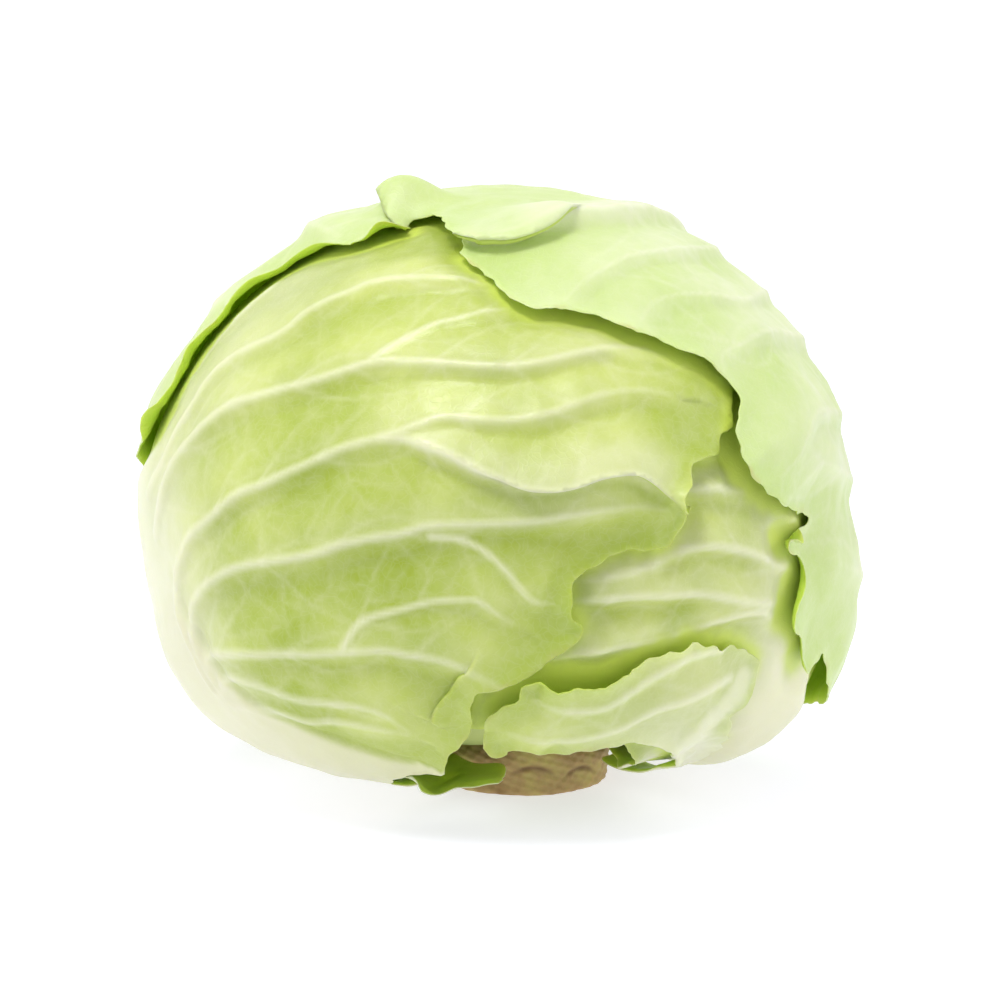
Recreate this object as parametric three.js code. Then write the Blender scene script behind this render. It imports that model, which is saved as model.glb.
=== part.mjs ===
// Cabbage head, cut from its root and trimmed: a short stem, a tight inner heart, and the
// large loose leaves that wrap it one over another. Millimetres, +Z up. The origin is the
// middle of the stem's flat cut, which the head rests on. -Y is the front.
import * as THREE from 'three';
import { mergeVertices } from 'three/addons/utils/BufferGeometryUtils.js';

// Driving dimensions of the heart
const HALF_WIDTH = 84.5;
const HALF_DEPTH = 80;
const RISE = 69.5;
const DROP = 67.5;
const ROUND_ABOVE = 2.0;
const ROUND_BELOW = 3.1;
const HEART_CENTRE = new THREE.Vector3(-5.5, 1, 79);
const LEAN = THREE.MathUtils.degToRad(5);
const STEM_DIMPLE = 11;
const STEM_DIMPLE_SPREAD = 20;

// Driving dimensions of the leaves and the stem
const BLADE = 1.2;
const LAYER = 3.2;
const INNERMOST = 1.8;
const HEART_SINK = 3;
const SPHERE = 80;
const STEM_RADIUS = 23;
const STEM_FLARE = 1.2;
const STEM_GAP = 1.6;
const BASE_RADIUS = 26.6;
const MARGIN_STEP = 5.6;
const COVERED_RELIEF = 0.2;
const COVER_FADE = 8;
const CURL_FADE = [0.72, 0.86];
const EVEN_BELOW = -0.88;
const SIDE_OF_ROWS = Math.sqrt(3) / 2;
const CHART_REACH = 1.95;
const RIB_REACH = 3;
const RIB_FOOT = 1.5;
const RIB_TIP = 0.45;

// Least distance between the points of a leaf's faces, in steps of that leaf
const CREST_GAP = 0.55;
const FOOT_GAP = 0.6;
const FIELD_GAP = 0.72;

// Where the heart departs from an even round: angle round, angle up, rise and spread
const UNEVEN = [
  { round: 80, up: 28, rise: -8.5, spread: 28 },
  { round: 85, up: -8, rise: -4.5, spread: 24 },
  { round: 60, up: 75, rise: -4.5, spread: 40 },
  { round: -75, up: 45, rise: -2.5, spread: 24 },
  { round: -88, up: -15, rise: 1.5, spread: 22 },
  { round: -75, up: -50, rise: -3.5, spread: 26 },
  { round: 76, up: -48, rise: 6.5, spread: 20 },
];

// A place on the head is a pair of angles in degrees: round from the front towards +X, and
// up from the level of the heart's centre.
function direction([round, up]) {
  const a = THREE.MathUtils.degToRad(round);
  const b = THREE.MathUtils.degToRad(up);
  return new THREE.Vector3(Math.sin(a) * Math.cos(b), -Math.cos(a) * Math.cos(b), Math.sin(b));
}

function degreesBetween(p, q) {
  return THREE.MathUtils.radToDeg(p.angleTo(q));
}

function heartRadius(d) {
  const above = THREE.MathUtils.smoothstep(d.z, -0.35, 0.35);
  const half = THREE.MathUtils.lerp(DROP, RISE, above);
  const power = THREE.MathUtils.lerp(ROUND_BELOW, ROUND_ABOVE, above);
  const level = Math.hypot(d.x / HALF_WIDTH, d.y / HALF_DEPTH);
  let r = (level ** power + Math.abs(d.z / half) ** power) ** (-1 / power);
  const fromStem = degreesBetween(d, new THREE.Vector3(0, 0, -1));
  r -= STEM_DIMPLE * Math.exp(-((fromStem / STEM_DIMPLE_SPREAD) ** 2));
  for (const { round, up, rise, spread } of UNEVEN) {
    r += rise * Math.exp(-((degreesBetween(d, direction([round, up])) / spread) ** 2));
  }
  return r;
}

// The head leans a little towards -X
const UPRIGHT = new THREE.Vector3(0, 1, 0);

function outwards(d) {
  return d.clone().applyAxisAngle(UPRIGHT, -LEAN);
}

function onHead(d, lift) {
  return outwards(d).multiplyScalar(heartRadius(d) + lift).add(HEART_CENTRE);
}

// Height of the layer at this lift under the head, straight above a point of the ground
function underside(x, y, lift) {
  let low = 0;
  let high = HEART_CENTRE.z;
  const p = new THREE.Vector3();
  for (let i = 0; i < 30; i += 1) {
    const z = (low + high) / 2;
    p.set(x, y, z).sub(HEART_CENTRE);
    const d = p.clone().applyAxisAngle(UPRIGHT, LEAN).normalize();
    if (p.length() < heartRadius(d) + lift) high = z;
    else low = z;
  }
  return (low + high) / 2;
}

// Angles of the places where a leaf at this lift clasps the stem, from one side to another
function claspAngles(lift, from, to) {
  const steps = Math.max(2, Math.round(Math.abs(to - from) / 15));
  return Array.from({ length: steps + 1 }, (_, i) => {
    const a = THREE.MathUtils.degToRad(from + (to - from) * i / steps);
    const x = BASE_RADIUS * Math.sin(a);
    const y = -BASE_RADIUS * Math.cos(a);
    const p = new THREE.Vector3(x, y, underside(x, y, lift)).sub(HEART_CENTRE);
    const d = p.applyAxisAngle(UPRIGHT, LEAN).normalize();
    const round = THREE.MathUtils.radToDeg(Math.atan2(d.x, -d.y));
    return [round, THREE.MathUtils.radToDeg(Math.asin(d.z))];
  });
}

// A repeatable stream of random numbers from 0 to 1
function randomFrom(seed) {
  let state = seed;
  return () => {
    state = (state + 0x6d2b79f5) | 0;
    let t = Math.imul(state ^ (state >>> 15), 1 | state);
    t = (t + Math.imul(t ^ (t >>> 7), 61 | t)) ^ t;
    return ((t ^ (t >>> 14)) >>> 0) / 4294967296;
  };
}

function smoothPath(angles, closed, step) {
  const curve = new THREE.CatmullRomCurve3(angles.map(direction), closed, 'centripetal');
  const count = Math.max(2, Math.round(curve.getLength() * SPHERE / step));
  const points = curve.getSpacedPoints(count);
  if (closed) points.pop();
  return points.map((p) => p.normalize());
}

// Nearest point of a path to a direction: its distance in millimetres and how far along it is
const onSegment = new THREE.Line3();
const nearest = new THREE.Vector3();

function toPath(d, path, closed) {
  const best = { distance: Infinity, along: 0, point: null };
  const count = closed ? path.length : path.length - 1;
  for (let i = 0; i < count; i += 1) {
    onSegment.set(path[i], path[(i + 1) % path.length]);
    const t = onSegment.closestPointToPointParameter(d, true);
    onSegment.at(t, nearest);
    const distance = nearest.distanceTo(d) * SPHERE;
    if (distance < best.distance) {
      best.distance = distance;
      best.along = (i + t) / count;
      best.point = nearest.clone();
    }
  }
  return best;
}

// Each leaf is laid out on a flat chart round its middle, on which areas keep their size
function chartOf(middle) {
  const up = direction(middle);
  const east = new THREE.Vector3(0, 0, 1).cross(up).normalize();
  const north = up.clone().cross(east);
  return {
    flat(d) {
      const far = up.angleTo(d);
      const scale = 2 * SPHERE * Math.sin(far / 2);
      const across = new THREE.Vector2(d.dot(east), d.dot(north));
      return across.normalize().multiplyScalar(scale);
    },
    round(p) {
      const far = 2 * Math.asin(Math.min(1, p.length() / (2 * SPHERE)));
      const side = east.clone().multiplyScalar(p.x).addScaledVector(north, p.y);
      if (p.length() > 0) side.multiplyScalar(Math.sin(far) / p.length());
      return side.addScaledVector(up, Math.cos(far)).normalize();
    },
  };
}

function insideOutline(p, outline) {
  let inside = false;
  for (let i = 0, j = outline.length - 1; i < outline.length; j = i, i += 1) {
    const a = outline[i];
    const b = outline[j];
    const crosses = (a.y > p.y) !== (b.y > p.y);
    if (crosses && p.x < ((b.x - a.x) * (p.y - a.y)) / (b.y - a.y) + a.x) inside = !inside;
  }
  return inside;
}

// Delaunay triangles of flat points, each turning left
function triangulate(points) {
  const count = points.length;
  const far = 20 * SPHERE;
  const all = [...points, new THREE.Vector2(-far, -far), new THREE.Vector2(far, -far),
    new THREE.Vector2(0, far)];
  const circled = (a, b, c) => {
    const [p, q, r] = [all[a], all[b], all[c]];
    const twice = 2 * (p.x * (q.y - r.y) + q.x * (r.y - p.y) + r.x * (p.y - q.y));
    const [pp, qq, rr] = [p.lengthSq(), q.lengthSq(), r.lengthSq()];
    const x = (pp * (q.y - r.y) + qq * (r.y - p.y) + rr * (p.y - q.y)) / twice;
    const y = (pp * (r.x - q.x) + qq * (p.x - r.x) + rr * (q.x - p.x)) / twice;
    return { corners: [a, b, c], x, y, size: (p.x - x) ** 2 + (p.y - y) ** 2 };
  };
  let triangles = [circled(count, count + 1, count + 2)];
  for (let i = 0; i < count; i += 1) {
    const p = all[i];
    const edges = new Map();
    const kept = [];
    for (const t of triangles) {
      if ((p.x - t.x) ** 2 + (p.y - t.y) ** 2 >= t.size) {
        kept.push(t);
        continue;
      }
      const [a, b, c] = t.corners;
      for (const [from, to] of [[a, b], [b, c], [c, a]]) {
        if (edges.has(`${to},${from}`)) edges.delete(`${to},${from}`);
        else edges.set(`${from},${to}`, [from, to]);
      }
    }
    for (const [from, to] of edges.values()) kept.push(circled(from, to, i));
    triangles = kept;
  }
  return triangles.map((t) => t.corners).filter((corners) => Math.max(...corners) < count);
}

// The edge of a leaf, with the small random waves of a grown or torn edge
function raggedMargin(leaf, random) {
  const path = smoothPath(leaf.margin, true, MARGIN_STEP);
  return path.map((p, i) => {
    const next = path[(i + 1) % path.length];
    const side = next.clone().sub(p).cross(p).normalize();
    const shift = (random() - 0.5) * leaf.ragged / SPHERE;
    const nearStem = p.z < EVEN_BELOW;
    return nearStem ? p.clone() : p.clone().addScaledVector(side, shift).normalize();
  });
}

function prepare(leaf) {
  const random = randomFrom(leaf.seed);
  const chart = chartOf(leaf.middle);
  const margin = raggedMargin(leaf, random);
  const ribs = leaf.ribs.map((rib) => ({ ...rib, path: smoothPath(rib.path, false, 7) }));
  const waves = Array.from({ length: 4 }, () => ({
    way: new THREE.Vector3(random() - 0.5, random() - 0.5, random() - 0.5).setLength(7 + 7 * random()),
    start: 2 * Math.PI * random(),
  }));
  return { ...leaf, random, chart, margin, ribs, waves, outline: margin.map(chart.flat) };
}

// How freely a leaf can stand up in folds: fully in the open, little under another leaf
function openness(d, above) {
  let open = 1;
  for (const leaf of above) {
    const under = insideOutline(leaf.chart.flat(d), leaf.outline);
    const gap = under ? 0 : toPath(d, leaf.margin, true).distance;
    open = Math.min(open, THREE.MathUtils.smoothstep(gap, 0, COVER_FADE));
  }
  return THREE.MathUtils.lerp(COVERED_RELIEF, 1, open);
}

// Height of a leaf's outer face over its own layer, from its ribs and soft waves
function relief(d, leaf) {
  let height = 0;
  for (const rib of leaf.ribs) {
    const { distance, along } = toPath(d, rib.path, false);
    if (distance > RIB_REACH * rib.wide) continue;
    const strength = THREE.MathUtils.lerp(1, rib.tip ?? RIB_TIP, along);
    const bump = rib.high * strength * Math.exp(-((distance / (rib.wide * strength)) ** 2));
    height = Math.max(height, bump);
  }
  for (const { way, start } of leaf.waves) {
    height += leaf.wave * (1 + Math.sin(way.dot(d) + start)) / 2;
  }
  return height;
}

// A point of the blade, at this depth under its outer face. Near its edge the leaf rolls
// away from the head, by a turn and over a reach that some places raise.
function bladePoint(d, depth, leaf, above) {
  const lift = leaf.lift + openness(d, above) * relief(d, leaf);
  const out = outwards(d);
  const edge = toPath(d, leaf.margin, true);
  let reach = leaf.curl.reach;
  let turn = leaf.curl.turn;
  for (const spot of leaf.curl.spots) {
    const far = edge.point.distanceTo(direction(spot.at)) * SPHERE;
    const weight = Math.exp(-((far / spot.spread) ** 2));
    reach += weight * spot.reach;
    turn += weight * spot.turn;
  }
  const nearStem = THREE.MathUtils.smoothstep(-d.z, ...CURL_FADE);
  turn = THREE.MathUtils.degToRad(turn * (1 - nearStem));
  const past = reach - edge.distance;
  if (past <= 0 || turn < 0.02) return onHead(d, lift - depth);
  const aside = outwards(edge.point).sub(out);
  aside.addScaledVector(out, -aside.dot(out));
  if (aside.length() < 1e-5) aside.copy(outwards(leaf.margin[0])).sub(out).negate();
  aside.normalize();
  const bend = reach / turn;
  const angle = past / bend;
  const sideways = (bend + depth) * Math.sin(angle) - past;
  const upwards = bend - (bend + depth) * Math.cos(angle) + depth;
  return onHead(d, lift - depth).addScaledVector(aside, sideways).addScaledVector(out, upwards);
}

// Points that give the leaf its shape: edge, rib crests and their feet, and an even spread
function layOut(leaf, above) {
  const points = [...leaf.outline];
  const farFromAll = (p, gap) => points.every((q) => q.distanceTo(p) > gap);
  const addIfFree = (p, gap) => {
    const inside = insideOutline(p, leaf.outline);
    if (inside && farFromAll(p, gap)) points.push(p);
  };
  for (const rib of leaf.ribs) {
    const strengthAt = (i) => THREE.MathUtils.lerp(1, rib.tip ?? RIB_TIP, i / rib.path.length);
    rib.path.forEach((d) => addIfFree(leaf.chart.flat(d), CREST_GAP * leaf.step));
    rib.path.slice(1).forEach((d, i) => {
      const side = d.clone().sub(rib.path[i]).cross(d).normalize();
      for (const sign of [-1, 1]) {
        const away = sign * RIB_FOOT * rib.wide * strengthAt(i) / SPHERE;
        const foot = d.clone().addScaledVector(side, away);
        addIfFree(leaf.chart.flat(foot.normalize()), FOOT_GAP * leaf.step);
      }
    });
  }
  const rows = Math.ceil(2 * SPHERE / (leaf.step * SIDE_OF_ROWS));
  for (let row = -rows; row <= rows; row += 1) {
    for (let column = -rows; column <= rows; column += 1) {
      const x = (column + 0.5 * (row & 1)) * leaf.step;
      const p = new THREE.Vector2(x, row * leaf.step * SIDE_OF_ROWS);
      if (p.length() > CHART_REACH * SPHERE || !insideOutline(p, leaf.outline)) continue;
      const shown = openness(leaf.chart.round(p), above) > COVERED_RELIEF;
      const coarse = (row & 1) === 0 && (column & 1) === 0;
      if (shown || coarse) addIfFree(p, FIELD_GAP * leaf.step);
    }
  }
  return points;
}

// A closed leaf: an outer face, an inner face with the same triangles, and the cut edge
function leafGeometry(leaf, above) {
  const flat = layOut(leaf, above);
  const triangles = triangulate(flat).filter((corners) => {
    const middle = corners.reduce((sum, i) => sum.add(flat[i]), new THREE.Vector2());
    return insideOutline(middle.divideScalar(3), leaf.outline);
  });
  const position = [];
  for (const depth of [0, BLADE]) {
    for (const p of flat) {
      position.push(...bladePoint(leaf.chart.round(p), depth, leaf, above).toArray());
    }
  }
  const edges = new Map();
  const faces = [];
  const inner = flat.length;
  for (const [a, b, c] of triangles) {
    faces.push(a, b, c, inner + c, inner + b, inner + a);
    for (const [from, to] of [[a, b], [b, c], [c, a]]) {
      if (edges.has(`${to},${from}`)) edges.delete(`${to},${from}`);
      else edges.set(`${from},${to}`, [from, to]);
    }
  }
  for (const [from, to] of edges.values()) {
    faces.push(from, inner + from, to, to, inner + from, inner + to);
  }
  const geometry = new THREE.BufferGeometry();
  geometry.setAttribute('position', new THREE.Float32BufferAttribute(position, 3));
  geometry.setIndex(faces);
  return geometry;
}

// Tight inner head, whose leaves are pressed into one firm body
function heartGeometry() {
  const geometry = new THREE.IcosahedronGeometry(1, 6);
  geometry.deleteAttribute('normal');
  geometry.deleteAttribute('uv');
  const heart = mergeVertices(geometry);
  const position = heart.attributes.position;
  const d = new THREE.Vector3();
  for (let i = 0; i < position.count; i += 1) {
    d.fromBufferAttribute(position, i).normalize();
    position.setXYZ(i, ...onHead(d, -HEART_SINK).toArray());
  }
  return heart;
}

// Cut stump of the stem: flat below, knobby with leaf scars, widening to the leaf bases
const SCARS = [
  { round: -62, height: 5.5, high: 1.3 }, { round: -28, height: 4, high: 1.1 },
  { round: 6, height: 6, high: 1.4 }, { round: 41, height: 4.5, high: 1.2 },
  { round: 80, height: 6, high: 1.3 }, { round: 124, height: 5, high: 1.2 },
  { round: 165, height: 5.5, high: 1.4 }, { round: -146, height: 4.5, high: 1.2 },
  { round: -104, height: 6, high: 1.3 },
];
const STEM_PROFILE = [
  [0, 0], [0.45, 0], [0.8, 0], [0.97, 0], [1, 0.9], [1, 3], [1, 5.2], [1, 7.6], [1, 10.5], [0.97, 14],
];

const STEM_SIDES = 40;
const STEM_TOP_ROWS = [0.93, 0.7, 0.45, 0.2, 0];
const ABOVE_STEM = 40;
const SCAR_HALF_ANGLE = 13;
const SCAR_HALF_HEIGHT = 2.2;
const SCAR_DEPTH = 1.7;

function stemGeometry() {
  const sideRows = STEM_PROFILE.map(([wide, z]) => new THREE.Vector2(wide * STEM_RADIUS, z));
  const topRows = STEM_TOP_ROWS.map((wide) => new THREE.Vector2(wide * STEM_RADIUS, ABOVE_STEM));
  const lathe = new THREE.LatheGeometry([...sideRows, ...topRows], STEM_SIDES);
  lathe.deleteAttribute('normal');
  lathe.deleteAttribute('uv');
  const stem = mergeVertices(lathe);
  const position = stem.attributes.position;
  for (let i = 0; i < position.count; i += 1) {
    const [x, height, z] = [position.getX(i), position.getY(i), position.getZ(i)];
    const angle = Math.atan2(x, z);
    let radius = Math.hypot(x, z);
    const topRow = height === ABOVE_STEM;
    const flare = STEM_FLARE * THREE.MathUtils.smoothstep(height, 0, 10) * (topRow ? 0 : 1);
    if (radius > 0.9 * STEM_RADIUS) {
      radius += flare + 0.35 * Math.sin(3 * angle + 1) + 0.25 * Math.sin(7 * angle);
      for (const { round, height: at, high } of SCARS) {
        let apart = Math.abs(THREE.MathUtils.radToDeg(angle) - round);
        apart = Math.min(apart, 360 - apart);
        const tall = (height - at) / SCAR_HALF_HEIGHT;
        const near = Math.exp(-((apart / SCAR_HALF_ANGLE) ** 2) - tall ** 2);
        radius += (high - SCAR_DEPTH) * near;
      }
    }
    const px = radius * Math.sin(angle);
    const py = -radius * Math.cos(angle);
    position.setXYZ(i, px, py, topRow ? underside(px, py, -HEART_SINK) - STEM_GAP : height);
  }
  return stem;
}

// The leaves, from the innermost out. Margins run round each leaf to the left, seen from
// outside the head. Ribs start at the base.
const LIFT_BACK = INNERMOST;
const LIFT_RIGHT = INNERMOST + LAYER;
const LIFT_LEFT = INNERMOST + 2 * LAYER;
const LIFT_TORN = INNERMOST + 2 * LAYER - 0.2;
const LIFT_CAP = INNERMOST + 3 * LAYER;

const backLeaf = {
  name: 'leaf_back',
  colour: '#c3d88e',
  lift: LIFT_BACK,
  middle: [180, 0],
  step: 12,
  seed: 11,
  ragged: 1.6,
  wave: 0.3,
  curl: { reach: 6, turn: 20, spots: [] },
  margin: [
    ...claspAngles(LIFT_BACK, 130, 230), [-112, -52], [-98, -30], [-92, -5], [-94, 22], [-104, 44],
    [-130, 60], [180, 66], [130, 60], [104, 42], [95, 18], [94, -8], [100, -32], [112, -52],
  ],
  ribs: [
    { high: 2.2, wide: 5, path: [[180, -64], [180, -35], [180, 0], [180, 40]] },
    { high: 1.4, wide: 3, path: [[180, -45], [160, -30], [145, -12], [132, 8]] },
    { high: 1.4, wide: 3, path: [[180, -45], [-160, -30], [-145, -12], [-132, 8]] },
  ],
};

const rightLeaf = {
  name: 'leaf_right',
  colour: '#cfe0a0',
  lift: LIFT_RIGHT,
  middle: [42, -5],
  step: 8,
  seed: 23,
  ragged: 1.6,
  wave: 0.35,
  curl: { reach: 5, turn: 15, spots: [] },
  margin: [
    ...claspAngles(LIFT_RIGHT, 60, 118), [112, -52], [122, -32], [126, -5], [120, 22], [100, 42],
    [68, 54], [35, 56], [5, 52], [-20, 42], [-36, 26], [-44, 5], [-42, -16], [-34, -29], [-20, -31.5],
    [-4, -32.5], [8, -34], [18, -37], [25, -44], [29, -51], [33, -58], [42, -63],
  ],
  ribs: [
    {
      high: 3.5,
      wide: 12,
      tip: 0.3,
      path: [[68, -64], [66, -52], [66, -38], [66, -22], [64, -5], [62, 12], [60, 30]],
    },
    { high: 1.9, wide: 3.2, path: [[64, -12], [54, -3], [46, 1], [40.5, 2.5], [37.5, 3.3], [30.5, 4.5]] },
    {
      high: 1.9,
      wide: 3.2,
      path: [[65, -19], [50.7, -11.5], [41.5, -7.5], [33.6, -5.2], [27, -5.8], [13.5, -8]],
    },
    {
      high: 1.9,
      wide: 3.2,
      path: [[66, -25], [48, -17], [37.3, -14], [30.2, -12], [20, -10.5], [10, -11.3]],
    },
    {
      high: 1.6,
      wide: 3,
      path: [[66, -30], [45, -17.5], [36.5, -17.3], [27.2, -19.2], [16.6, -19], [8.5, -20]],
    },
  ],
};

const leftLeaf = {
  name: 'leaf_left',
  colour: '#d2e3a2',
  lift: LIFT_LEFT,
  middle: [-55, 4],
  step: 7.2,
  seed: 5,
  ragged: 1.4,
  wave: 0.4,
  curl: {
    reach: 4,
    turn: 18,
    spots: [
      { at: [29, 3], spread: 8, reach: 3, turn: 45 },
      { at: [39, 11], spread: 8, reach: 2, turn: 30 },
      { at: [10, -12], spread: 8, reach: 2, turn: 30 },
      { at: [-7, -27], spread: 8, reach: 2, turn: 25 },
    ],
  },
  margin: [
    ...claspAngles(LIFT_LEFT, -128, -46), [-38, -56], [-33, -47], [-26, -41.5], [-18, -40], [-13, -36.5],
    [-9.8, -31.5],
    [-7, -27.5], [-5.2, -22.7], [-1.7, -22.7], [2.7, -20.8], [7.3, -18.4], [11.2, -15], [9.7, -12.3],
    [10.3, -7], [15.7, -4.6], [21.7, -3.8], [26.3, -3.8], [29.5, 0.5], [30, 4], [31, 7.5], [34.5, 9],
    [38, 10], [42, 12.5], [46, 18], [50, 28], [48, 40], [40, 53], [22, 65], [-20, 76], [-80, 80],
    [-120, 71], [-138, 52], [-147, 30], [-150, 5], [-144, -20], [-134, -40], [-128, -54],
  ],
  ribs: [
    {
      high: 3.2,
      wide: 12,
      tip: 0.25,
      path: [[-70, -65], [-74, -50], [-78, -34], [-79, -15], [-79, 5], [-77, 25], [-74, 45]],
    },
    {
      high: 2.2,
      wide: 3.2,
      path: [[-70, 8], [-63, 19], [-58, 29], [-45, 35], [-30, 45], [-7, 46.5], [12, 43]],
    },
    {
      high: 2.6,
      wide: 3.2,
      path: [[-68, 2], [-56, 17], [-43.5, 23.5], [-29.5, 27], [-20, 29.5], [0.8, 27.3], [21.5, 28.3],
        [43.5, 21.5]],
    },
    { high: 1.5, wide: 2.8, path: [[-21, 30], [-10, 36.5], [9, 40]] },
    {
      high: 2.7,
      wide: 3.2,
      path: [[-63, -18], [-63.5, -11.5], [-59.5, -2.5], [-49.5, 4.5], [-38.5, 9.8], [-21, 16.2], [-8, 19.5],
        [5, 18.3], [18.8, 20.7], [31, 19.2]],
    },
    {
      high: 3.5,
      wide: 3.4,
      tip: 0.8,
      path: [[-17, 17], [-9.3, 14.7], [0.2, 10], [10, 8.4], [20.5, 9.2], [27.5, 4.3]],
    },
    {
      high: 2.4,
      wide: 3.2,
      path: [[-62, -22], [-58.7, -10.8], [-50, -4.8], [-37, -1.6], [-24.5, 1], [-11.2, 3.3], [5.6, 2.8],
        [26, 1.8]],
    },
    { high: 1.9, wide: 2.8, path: [[-10.5, 1.5], [-2.3, -1.6], [1.5, -6.5], [7, -10.5]] },
    { high: 1.9, wide: 2.8, path: [[-27, -15.5], [-18.8, -9.8], [-7.2, -8.3], [0.7, -13]] },
    {
      high: 2.2,
      wide: 3,
      path: [[-62, -24], [-49.5, -16.8], [-32.5, -15.9], [-16, -16], [-6.5, -19.2], [-1.5, -22.8]],
    },
    { high: 1.9, wide: 3, path: [[-60, -26], [-45, -22], [-30.3, -24], [-19, -29.5]] },
  ],
};

const tornLeaf = {
  name: 'leaf_torn',
  colour: '#c9dd98',
  lift: LIFT_TORN,
  middle: [20, -32],
  step: 6.5,
  seed: 31,
  ragged: 1.8,
  wave: 0.3,
  curl: { reach: 5, turn: 28, spots: [{ at: [8, -22], spread: 9, reach: 3, turn: 30 }] },
  margin: [
    ...claspAngles(LIFT_TORN, 52, 74), [53, -55], [49, -47], [45, -40], [42.5, -35], [45.5, -30.5],
    [45.5, -26], [39, -22.5], [33, -20.5], [26.8, -20.2], [21, -21.5], [12.5, -23.3], [5, -22],
    [0.6, -23.5], [-3.5, -27],
    [-5.2, -31], [-4.4, -35.6], [2, -35.4], [10, -36.8], [19.5, -36.6], [26, -38.5],
    [32, -41.5], [37, -46.5], [41, -53],
  ],
  ribs: [
    { high: 1.9, wide: 4, tip: 0.5, path: [[54, -62], [46, -50], [42, -40], [43.5, -28.5]] },
    { high: 1.5, wide: 2.8, path: [[39.5, -27.8], [30, -29], [21.5, -30.8], [13, -33], [-1.8, -31.3]] },
    { high: 1.5, wide: 2.8, path: [[34.3, -22], [25, -23.7], [14.3, -27.7], [2.7, -25.2]] },
  ],
};

const capLeaf = {
  name: 'leaf_cap',
  colour: '#bdd688',
  lift: LIFT_CAP,
  middle: [140, 36],
  step: 8.4,
  seed: 47,
  ragged: 1.8,
  wave: 0.5,
  curl: {
    reach: 4,
    turn: 14,
    spots: [
      { at: [-33, 66], spread: 8, reach: 6, turn: 60 },
      { at: [33, 30], spread: 20, reach: 4, turn: 16 },
      { at: [52, -8], spread: 9, reach: 2, turn: 40 },
    ],
  },
  margin: [
    ...claspAngles(LIFT_CAP, 148, 212), [-150, -50], [-140, -36], [-126, -16], [-112, -2], [-96, 7],
    [-84, 12], [-76, 15], [-75.5, 23], [-78, 32], [-79.5, 41], [-77, 50], [-63, 57], [-50, 58.5], [-40, 62],
    [-32, 65.2], [-31, 70.5], [-17, 68.5], [-8, 63.5], [-5, 57], [-4, 52.3], [2.2, 46.8], [5.5, 41],
    [15, 36.8],
    [22.6, 34], [28, 30], [33.5, 27.3], [39.5, 23.6], [44.3, 17], [40.6, 10], [41.8, 4.5], [48.5, -1],
    [58, -4.2], [57, -6.8], [50.5, -8], [53, -14.5], [50.5, -20.5], [57, -26.5], [62, -29.5], [72, -34],
    [92, -42], [114, -50], [136, -56],
  ],
  ribs: [
    {
      high: 3.2,
      wide: 9,
      tip: 0.3,
      path: [[180, -64], [178, -42], [174, -18], [168, 8], [156, 34], [120, 58], [60, 64]],
    },
    {
      high: 3,
      wide: 5,
      tip: 0.8,
      path: [[150, 42], [118, 46], [95, 56], [50, 60.5], [31, 61.5], [8, 59]],
    },
    { high: 2.2, wide: 3.2, path: [[160, 24], [128, 34], [92, 44], [60, 47], [38.5, 46.3], [17.2, 38.4]] },
    { high: 2.2, wide: 3.2, path: [[166, 10], [130, 20], [96, 31], [66, 33], [46, 36], [31, 32.3]] },
    { high: 1.9, wide: 3, path: [[168, 4], [132, 10], [98, 20], [70, 26], [51, 25], [43.5, 20]] },
    { high: 1.9, wide: 3, path: [[172, -8], [136, -4], [100, 5], [78, 9], [59, 9], [45, 14]] },
    { high: 1.8, wide: 3, path: [[175, -22], [140, -20], [108, -10], [84, -3], [62, 2], [52.5, -2.8]] },
    { high: 1.8, wide: 3, path: [[178, -34], [146, -36], [116, -30], [90, -20], [68, -14]] },
    { high: 2, wide: 3, path: [[166, 14], [-168, 34], [-140, 48], [-100, 58], [-60, 60]] },
    { high: 1.9, wide: 3, path: [[171, -4], [-164, 10], [-138, 24], [-110, 34], [-88, 38]] },
    { high: 1.8, wide: 3, path: [[176, -26], [-160, -12], [-136, 0], [-112, 10], [-94, 16]] },
  ],
};

const back = prepare(backLeaf);
const right = prepare(rightLeaf);
const left = prepare(leftLeaf);
const torn = prepare(tornLeaf);
const cap = prepare(capLeaf);

function finish(colour, roughness) {
  return new THREE.MeshStandardMaterial({ color: colour, roughness, metalness: 0 });
}

function named(name, geometry, material) {
  const mesh = new THREE.Mesh(geometry, material);
  mesh.name = name;
  return mesh;
}

const cabbage = new THREE.Group();
cabbage.add(named('stem', stemGeometry(), finish('#c8b894', 0.7)));
cabbage.add(named('heart', heartGeometry(), finish('#e2ebbe', 0.5)));
for (const [leaf, above] of [
  [back, [right, left, cap]],
  [right, [left, torn, cap]],
  [left, [cap]],
  [torn, []],
  [cap, []],
]) {
  cabbage.add(named(leaf.name, leafGeometry(leaf, above), finish(leaf.colour, 0.45)));
}

export default cabbage;
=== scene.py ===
import math

import bpy
import numpy as np
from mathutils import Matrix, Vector, kdtree
from mathutils.geometry import delaunay_2d_cdt


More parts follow.
